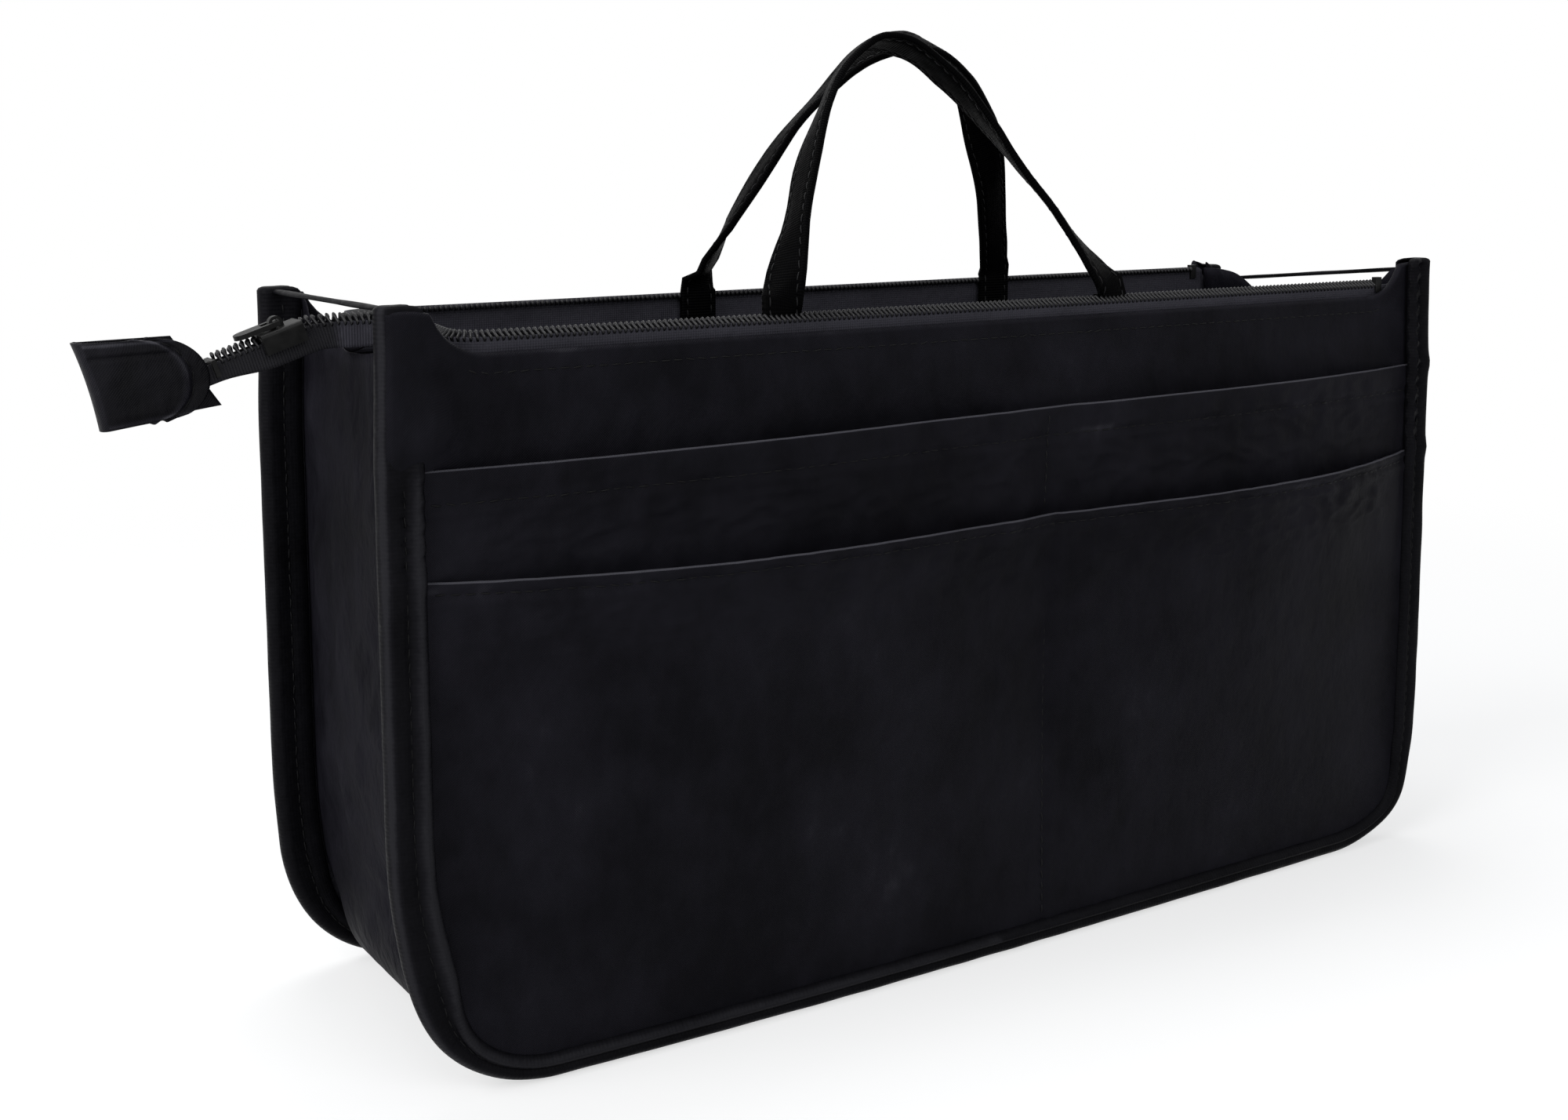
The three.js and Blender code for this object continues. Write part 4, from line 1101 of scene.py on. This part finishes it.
# Stations of a strap from its left foot over the crown to its right foot: centre, wide and thick directions
def strapStations(shape, bendY, bendZ):
    half, halfWidth = handle["span"] / 2, handle["width"] / 2
    ends = np.array(((-half, 0), shape["left"], shape["right"], (half, 0)))
    b = np.linspace(0, 1, 91)[:, None]
    a = 1 - b
    points = a**3 * ends[0] + 3 * a * a * b * ends[1] + 3 * a * b * b * ends[2] + b**3 * ends[3]
    steps = np.diff(ends, axis=0)
    slopes = unit(a * a * steps[0] + 2 * a * b * steps[1] + b * b * steps[2])
    rise, crown = points[:, 1].max(), points[:, 1].argmax()
    reach = rise + handle["thickness"] / 2
    room = (bendY - handle["crownPlay"]) / math.hypot(reach, halfWidth)
    lean = math.asin(room) - math.atan2(halfWidth, reach)
    up = np.array((0, math.sin(lean), math.cos(lean)))
    across = np.array((0, math.cos(lean), -math.sin(lean)))
    along, flat = np.array((1.0, 0, 0)), np.array((0, -1.0, 0))
    foot = np.array((-handle["offset"], -bendY, bendZ))
    heights = points[:, 1] / rise
    legs = [np.interp(heights, strapKnots, turns) for turns in shape["turns"]]
    twists = np.radians(np.where(np.arange(len(points)) <= crown, legs[0], legs[1]))
    eased = np.convolve(np.pad(twists, 4, mode="edge"), np.ones(9) / 9, mode="valid")
    twists = twists + (eased - twists) * smooth(heights / 0.12)
    downs = handle["footLength"] * np.linspace(0, 1, 18)[1:]
    stations = [(foot + (-half, 0, -down), -along, flat) for down in downs[::-1]]
    for point, slope, twist in zip(points, slopes, twists):
        outwards = along * -slope[1] + up * slope[0]
        stations.append((foot + along * point[0] + up * point[1], *turned(across, outwards, -twist)))
    return stations + [(foot + (half, 0, -down), along, flat) for down in downs]


# Section of a folded strap: a little fuller in the middle, drawn in along its two rows of stitches
def strapSection():
    half, edge = handle["width"] / 2, handle["edge"]
    w = np.linspace(-half + edge, half - edge, 17)
    groove = handle["groove"] * bump(np.abs(w) - handle["stitchAt"], 0.55)
    h = handle["thickness"] / 2 + handle["fullness"] * (1 - (w / half) ** 2) - groove
    left = [(-half + handle["edgeIn"], edge), (-half, 0), (-half + handle["edgeIn"], -edge)]
    right = [(-x, -y) for x, y in left]
    return np.array([*left, *zip(w, -h), *right, *zip(w[::-1], h[::-1])])


def handleStrap(side, turn, seed):
    place = jointNamed("front_handle_swing")["pos_m"]
    bendY, bendZ = -place[1] / mm, place[2] / mm
    section = strapSection()
    stations = strapStations(strapShapes[side], bendY, bendZ)
    free = smooth((np.array([centre[2] for centre, wide, thick in stations]) - bendZ - 2) / 16)
    count = np.arange(len(stations))
    shift = handle["slack"] * free * softNoise(count / 9, 0.0, seed)
    turnBy = handle["waver"] * free * softNoise(count / 7, 5.5, seed + 1)
    at = handle["thickness"] / 2 - handle["stitchSink"]
    rows, lines = [], [[] for k in range(4)]
    for i, (centre, wide, thick) in enumerate(stations):
        wide, thick = turned(wide, thick, -turnBy[i])
        centre = centre + thick * shift[i]
        crumple = softNoise(i / 2.3, section[:, 0] / 2.5, seed + 2)
        tall = section[:, 1:] * (1 + handle["crease"] * free[i] * crumple[:, None])
        rows.append(centre + section[:, :1] * wide + tall * thick)
        for line, (edge, face) in zip(lines, ((-1, 1), (1, 1), (-1, -1), (1, -1))):
            line.append((centre + edge * handle["stitchAt"] * wide + face * at * thick, face * thick))
    name = f"{side}_handle"
    strap = gridPiece(name + "_strap", np.array(rows), strapCloth, 0, turn, closed=True)
    sewing = stitching(name + "_stitches", [np.array(line).transpose(1, 0, 2) for line in lines], turn)
    sign = 1 if turn else -1
    for piece in (strap, sewing):
        sign * bendY * mm
        (bendZ - handle["bend"]) * mm
        sign * bendY * mm
        (bendZ + handle["bend"]) * mm
        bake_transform(piece)
    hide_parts(name, name + "_foot_left", name + "_foot_right")
    print(side, "handle sewn")


zipper = {
    "margin": 18, "tapeEnd": 6, "linkInset": 17, "bend": 8, "linkRise": 1.7, "linkTaper": 3.5, "lap": 2.5,
    "tapeWidth": 9, "tapeThickness": 0.5, "tapeIn": 0.3, "tapeStep": 1.6, "ripple": 0.35,
    "tailLength": 25.5, "leafOffset": 1.55, "leafDrop": 3.0, "neckDrop": 1.4, "tailRise": 1.1, "grip": 9,
    "tailBlend": 5.0,
    "pitch": 1.3, "toothWidth": 0.8, "meshTurn": 38, "linkTurn": 50, "lead": 0.16,
    # place up a tooth, its half width as a share of toothWidth and its half depth
    "rings": (
        (-0.75, 0.36, 0.55), (-0.2, 0.42, 0.6), (0.6, 0.4, 0.55),
        (1.25, 0.5, 0.72), (1.75, 0.52, 0.78), (2.0, 0.3, 0.45),
    ),
    # teeth lean in, the back tape stands higher
    "lean": {"front": 58, "back": 80},
    "sink": {"front": 0.0, "back": 0.9},
    "stand": {"front": (0, 0), "back": (1.1, 1.5)},
    "standFrom": (-100, 60),
}
tailPlace, chainWay = jointNamed("tail_swing")["pos_m"], jointNamed("slider_travel")["axis"]
tailX, bendLevel = tailPlace[0] / mm, tailPlace[2] / mm
tailDroop = math.atan2(-chainWay[2], -chainWay[0])
tapeLevel = teethFoot - bodyCut["plyGap"]
tapeY = -(tapeFace + zipper["tapeIn"])
teethStart = halfLength - zipper["margin"]


# Plan of the front tape: along the panel, in across the left end, out to the tail and along it
def tapePlan(start, step):
    linkX, bend, lap = -halfLength + zipper["linkInset"], zipper["bend"], zipper["lap"]
    leaf, angles = zipper["leafOffset"], np.linspace(0, math.pi / 2, 9)
    turnIn = [(linkX + bend - bend * math.sin(a), -tapeY + bend - bend * math.cos(a)) for a in angles]
    turnOut = [(linkX - bend + bend * math.cos(a), -lap - bend + bend * math.sin(a)) for a in angles]
    tailEnd = tailX - zipper["tailLength"] - zipper["grip"]
    knots = [(start, -tapeY), *turnIn, *turnOut, (tailX + 2, -lap), (tailX - 6, -leaf), (tailEnd, -leaf)]
    knots = np.array(knots)
    reach = reachAlong(knots)
    stops = np.arange(0, reach[-1], step)
    plan = np.stack([np.interp(stops, reach, knots[:, k]) for k in range(2)], -1)
    way = unit(np.gradient(plan, axis=0))
    return plan, np.stack([-way[:, 1], way[:, 0]], -1)


# Points of the zipper, turned down about the tail's bend where they are past it
def droopTail(points):
    u, v = points[..., 0] - tailX, points[..., 2] - bendLevel
    u, v = turned(u, v, tailDroop * smooth(-u / 6 + 0.5))
    return xyz(tailX + u, points[..., 1], bendLevel + v)


# How far the tape has come in from a panel to the middle
def linkShare(y):
    return smooth((tapeY - np.abs(y)) / (tapeY - zipper["lap"]))


# Lower edge and upper edge of the tape at points of its plan
def tapeEdges(plan, stand):
    share = linkShare(plan[:, 1])
    standing = np.interp(plan[:, 0], zipper["standFrom"], stand)
    top = tapeLevel + standing * (1 - share) + zipper["linkRise"] * share
    low = tapeLevel + (zipper["linkRise"] + zipper["linkTaper"]) * share - zipper["tapeWidth"]
    u, half = tailX - plan[:, 0], zipper["tailLength"] / 2
    onTail, neck = smooth(u / 4), smooth((u - half) / half)
    leafLow = bendLevel - zipper["leafDrop"] + (zipper["leafDrop"] - zipper["neckDrop"]) * neck
    return low * (1 - onTail) + leafLow * onTail, top + zipper["tailRise"] * onTail


def bendWithTail(piece):
    level = bendLevel * mm
    (tailX + zipper["tailBlend"]) * mm
    (tailX - zipper["tailBlend"]) * mm
    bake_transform(piece)


def halfTape(side, mirror, seed):
    plan, normal = tapePlan(teethStart + zipper["tapeEnd"], zipper["tapeStep"])
    low, top = tapeEdges(plan, zipper["stand"][side])
    run = np.arange(len(plan)) * zipper["tapeStep"]
    slack = zipper["ripple"] * smooth((run - 20) / 20) * smooth((plan[:, 0] - tailX) / 10)
    columns = []
    for share in np.linspace(0, 1, 8):
        wave = slack * (1 - share) * softNoise(run / 24, share * 1.3, seed)
        line = np.column_stack([plan + normal * wave[:, None], low + share * (top - low)])
        columns.append(droopTail(line) * (1, mirror, 1))
    grid = np.array(columns).transpose(1, 0, 2)
    if mirror > 0:
        grid = grid[:, ::-1]
    paintedLight = smooth((tailX + 6 - plan[:, 0]) / 12)[:, None]  # darker on the tail, back down from the tape's tone painted lighter for inside the bag
    tape = gridPiece(f"{side}_zipper_tape_cloth", grid, zipperTape, zipper["tapeThickness"], fold=paintedLight)
    tape.modifiers["ply"].offset = 0
    bendWithTail(tape)
    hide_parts(f"{side}_zipper_tape", f"tail_{side}_tape")


# Coil teeth along the tape's upper edge, turned over where the two halves mesh
def halfTeeth(side, mirror):
    plan, normal = tapePlan(teethStart - (mirror < 0) * zipper["pitch"] / 2, zipper["pitch"])
    keep = plan[:, 0] > tailX - zipper["tailLength"] + 0.5
    plan, normal = plan[keep], normal[keep]
    top, link = tapeEdges(plan, zipper["stand"][side])[1], linkShare(plan[:, 1])
    foot = np.column_stack([plan, top - zipper["sink"][side] * (1 - link)])
    inwards, ahead = xyz(-normal[:, 0], -normal[:, 1], 0), xyz(normal[:, 1], -normal[:, 0], 0)
    onTail = smooth((tailX + 2 - plan[:, 0]) / 8)
    lean = zipper["meshTurn"] * onTail + zipper["linkTurn"] * link * (1 - onTail)
    turn = np.radians(lean + zipper["lean"][side] * (1 - link))[:, None]
    beside, head = turned(inwards, np.array((0, 0, 1)), turn)
    ends = (foot, foot + head + zipper["lead"] * ahead, foot + beside)
    centres, heads, sides = (droopTail(points) * (1, mirror, 1) for points in ends)
    up, outwards = unit(heads - centres), centres - sides
    outwards = unit(outwards - (outwards * up).sum(-1, keepdims=True) * up)
    rings = [(at, wide * zipper["toothWidth"], deep, 0) for at, wide, deep in zipper["rings"]]
    form, faces = beadForm(rings, 8)
    places = (centres, up, np.cross(outwards, up), outwards)
    teeth = scatterPiece(f"{side}_zipper_coil", form, faces, places, zipperCoil)
    bendWithTail(teeth)
    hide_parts(f"{side}_zipper_teeth", "tail_chain")
    print(side, "zipper half made")


tab = {
    "length": 22.7, "rootHeight": 15.5, "endHeight": 18.2, "slant": 3.5, "rise": 1.3, "lift": 5.5, "past": 1.5,
    "round": 8.0, "backSlant": 4.6, "backOut": 2.0, "hollow": 0.4, "spare": 1.2, "fold": 0.6, "depthIn": 0.35,
    "seamIn": 3.2, "seamGroove": 0.35, "seamWelt": 0.3, "topBand": 0.35, "topGroove": 0.3,
    # pale and foldPale: painted highlights on the seam's welt, the edges and the fold
    "puff": 0.5, "crumple": 0.25, "seed": 83, "pale": 0.4, "foldPale": 0.3, "ply": 0.55,
}
tabHalf = boxMm("zipper_end_tab")[1][1]
tabTurn = tailDroop - math.radians(tab["lift"])


# One point of the tab, from its place outwards along it, its share of the height and its depth
def tabPoint(out, b, y):
    share = out / tab["length"]
    tall = tab["rootHeight"] + (tab["endHeight"] - tab["rootHeight"]) * share
    v = tab["slant"] * share + b * tall / 2
    rootX, rootZ = turned(-zipper["tailLength"] - tab["past"], tab["rise"], tailDroop)
    x, z = turned(-out, v, tabTurn)
    return xyz(tailX + rootX + x, y, bendLevel + rootZ + z)


# How far a rounded edge of the front leaf lies from the root
def leafEdge(b, inset):
    return inset + tab["round"] * (1 - np.sqrt(np.maximum(1 - b**2, 0)))


def leafDepth(out, b):
    inside = out - leafEdge(b, tab["seamIn"])
    puff = smooth(inside / 3) * smooth((tab["length"] - out) / 4) * smooth((1 - np.abs(b)) / 0.3)
    seam = tab["seamWelt"] * bump(inside - 1.3, 0.7) - tab["seamGroove"] * bump(inside, 0.7)
    top = tab["topBand"] * smooth((b - 0.66) / 0.06) - tab["topGroove"] * bump(b - 0.63, 0.05)
    crumple = tab["crumple"] * softNoise(out / 6, b * 2.2, tab["seed"]) * (1 - b**2)
    return tab["puff"] * puff + seam + top * smooth(inside / 2) + crumple


# The folded cloth at the end of the zipper: a round front leaf, the fold and a square back leaf
def endTab():
    across = np.linspace(-1, 1, 61)
    rising, thick = (across + 1) / 2, tabHalf - tab["depthIn"]
    end = tab["length"] + tab["spare"] * rising - tab["hollow"] * (1 - across**2)
    frontRoot = leafEdge(across, 0)
    backRoot = (tab["backSlant"] + tab["backOut"]) * rising - tab["backOut"]
    bow = thick * tab["fold"]
    columns, folds = [], []
    for share in np.linspace(0, 1, 40):
        out = frontRoot + share * (end - bow - frontRoot)
        columns.append(tabPoint(out, across, -thick - leafDepth(out, across)))
        # painted highlight on the seam's welt and the leaf's edges
        seam = bump(out - leafEdge(across, tab["seamIn"] + 1.2), 0.8) + bump(np.abs(across) - 0.93, 0.05)
        folds.append(tab["pale"] * seam)
    for angle in np.linspace(0.2, math.pi - 0.2, 9):
        columns.append(tabPoint(end - bow * (1 - math.sin(angle)), across, -thick * np.cos(angle)))
        # painted highlight along the fold
        folds.append(tab["foldPale"] * tab["pale"] + 0 * across)
    for share in np.linspace(0, 1, 26):
        swell = tab["puff"] * math.sin(math.pi * share) * (1 - across**2)
        columns.append(tabPoint(end - bow + share * (backRoot - end + bow), across, thick + swell))
        folds.append(0 * across)
    grid, fold = np.array(columns).transpose(1, 0, 2), np.array(folds).T
    cloth = gridPiece("zipper_end_tab_cloth", grid[::-1], tabNylon, tab["ply"], fold=fold[::-1])
    settle(cloth, ["zipper_end_tab"], "tail")
    b = np.sin(np.linspace(-1.35, 1.35, 60))
    out = leafEdge(b, tab["seamIn"])
    seam = tabPoint(out, b, -thick - leafDepth(out, b))
    sewing = stitching("zipper_end_tab_stitches", [(seam, (0, -1, 0))])
    settle(sewing, (), "tail")
    print("zipper tab folded")


metalEdges = {
    "zipper_slider": 0.25, "zipper_puller": 0.3,
    "front_top_stop": 0.15, "back_top_stop": 0.15, "zipper_bottom_stop": 0.15,
}


# The cast metal pieces keep their CAD shapes, with softened edges
def metalPieces():
    for node, width in metalEdges.items():
        piece = frame["nodes"][node]
        piece.data.materials.clear()
        piece.data.materials.append(darkMetal)
        bevel = piece.modifiers.new("edges", "BEVEL")
        bevel.width = width * mm
        bevel.segments = 2
        bevel.limit_method = "ANGLE"
    print("metal finished")


for side, turn, seed in (("front", False, 3), ("back", True, 31)):
    outerPockets(side, turn, seed)
    panelShell(side, turn, seed + 5)
    panelBoard(side, turn)
    panelLining(side, turn, seed + 9)
    insidePocket(side, turn, seed + 12)
    edgeBinding(side, turn, seed + 17)
    handleStrap(side, turn, seed + 21)
gussetStrip()
tieTape("left")
tieTape("right")
for side, mirror, seed in (("front", 1, 5), ("back", -1, 8)):
    halfTape(side, mirror, seed)
    halfTeeth(side, mirror)
endTab()
metalPieces()

studio = {
    "cameraPlace": (-0.2774, -0.3871, 0.192),
    "yaw": 32.11,
    "pitch": 7.145,
    "roll": 0.25,
    "focal": 43.76,
    "shiftY": -0.107,
    "floorSize": 6.0,
    "floorColour": 0.86,
    "glow": 0.6,
    "shadowReach": (0.22, 0.7),
    "worldLight": 0.4,
    "worldColour": (0.9, 0.95, 1, 1),
    "white": (1, 1, 1, 1),
}


# Stands a camera or lamp at a place, with its own right, up and back directions
def putAt(made, place, right, up, back):
    ways = np.stack([right, up, back], -1)
    made.matrix_world = Matrix([[*row, at] for row, at in zip(ways, place)] + [[0, 0, 0, 1]])


def placeCamera():
    yaw, pitch, roll = (math.radians(studio[angle]) for angle in ("yaw", "pitch", "roll"))
    ahead = np.array((math.sin(yaw) * math.cos(pitch), math.cos(yaw) * math.cos(pitch), -math.sin(pitch)))
    level = np.array((math.cos(yaw), -math.sin(yaw), 0))
    upright = np.cross(level, ahead)
    right, up = turned(level, upright, roll)
    lens = bpy.data.cameras.new("camera")
    lens.lens = studio["focal"]
    lens.shift_y = studio["shiftY"]
    camera = linked("camera", lens)
    putAt(camera, studio["cameraPlace"], right, up, -ahead)
    bpy.context.scene.camera = camera


# Pale where the camera sees it, with the shadow kept near the insert
def floorFinish():
    finish = newFinish("floor")
    tone, (near, far) = studio["floorColour"], studio["shadowReach"]
    reach = finish.node("ShaderNodeVectorMath", {"operation": "LENGTH"}, {0: finish.place()}, "Value")
    fade = {"Value": reach, "From Min": near, "From Max": far, "To Min": studio["glow"], "To Max": 1.0}
    share = finish.node("ShaderNodeMapRange", {"interpolation_type": "SMOOTHSTEP"}, fade)
    paint = finish.node("ShaderNodeBsdfDiffuse", None, {"Color": (tone, tone, tone, 1)})
    glow = finish.node("ShaderNodeEmission", None, {"Color": studio["white"], "Strength": 1.0})
    mixed = {0: finish.seen() * share, 1: paint, 2: glow}
    return finish.output(finish.node("ShaderNodeMixShader", None, mixed))


def layFloor():
    half = studio["floorSize"] / 2
    mesh = bpy.data.meshes.new("floor")
    corners = [(-half, -half, 0), (half, -half, 0), (half, half, 0), (-half, half, 0)]
    mesh.from_pydata(corners, [], [(0, 1, 2, 3)])
    mesh.materials.append(floorFinish())
    linked("floor", mesh)


def worldLight():
    world = bpy.data.worlds.new("studio")
    bpy.context.scene.world = world
    sky = Finish(world)
    lit = {"Color": studio["worldColour"], "Strength": studio["worldLight"]}
    soft = sky.node("ShaderNodeBackground", None, lit)
    white = sky.node("ShaderNodeBackground", None, {"Color": studio["white"], "Strength": 1.0})
    mixed = sky.node("ShaderNodeMixShader", None, {0: sky.seen(), 1: soft, 2: white})
    sky.node("ShaderNodeOutputWorld", None, {"Surface": mixed})


lamps = {
    "left": {"place": (-1.1, -0.15, 0.75), "aim": (-0.1, 0, 0.1), "size": (0.9, 0.9), "power": 16},
    "front": {"place": (-0.05, -1.3, 1.0), "aim": (0, 0, 0.08), "size": (1.2, 0.7), "power": 9},
    "top": {"place": (0.1, 0.35, 1.3), "aim": (0, 0, 0.15), "size": (0.9, 0.6), "power": 8},
}


def hangLamps():
    for name, lamp in lamps.items():
        light = bpy.data.lights.new(name, "AREA")
        light.shape = "RECTANGLE"
        light.size, light.size_y = lamp["size"]
        light.energy = lamp["power"]
        back = unit(np.array(lamp["place"]) - np.array(lamp["aim"]))
        right = unit(np.cross((0, 0, 1), back))
        putAt(linked(name, light), lamp["place"], right, np.cross(back, right), back)


placeCamera()
layFloor()
worldLight()
hangLamps()
bpy.context.scene.view_settings.view_transform = "Standard"
print("studio lit")
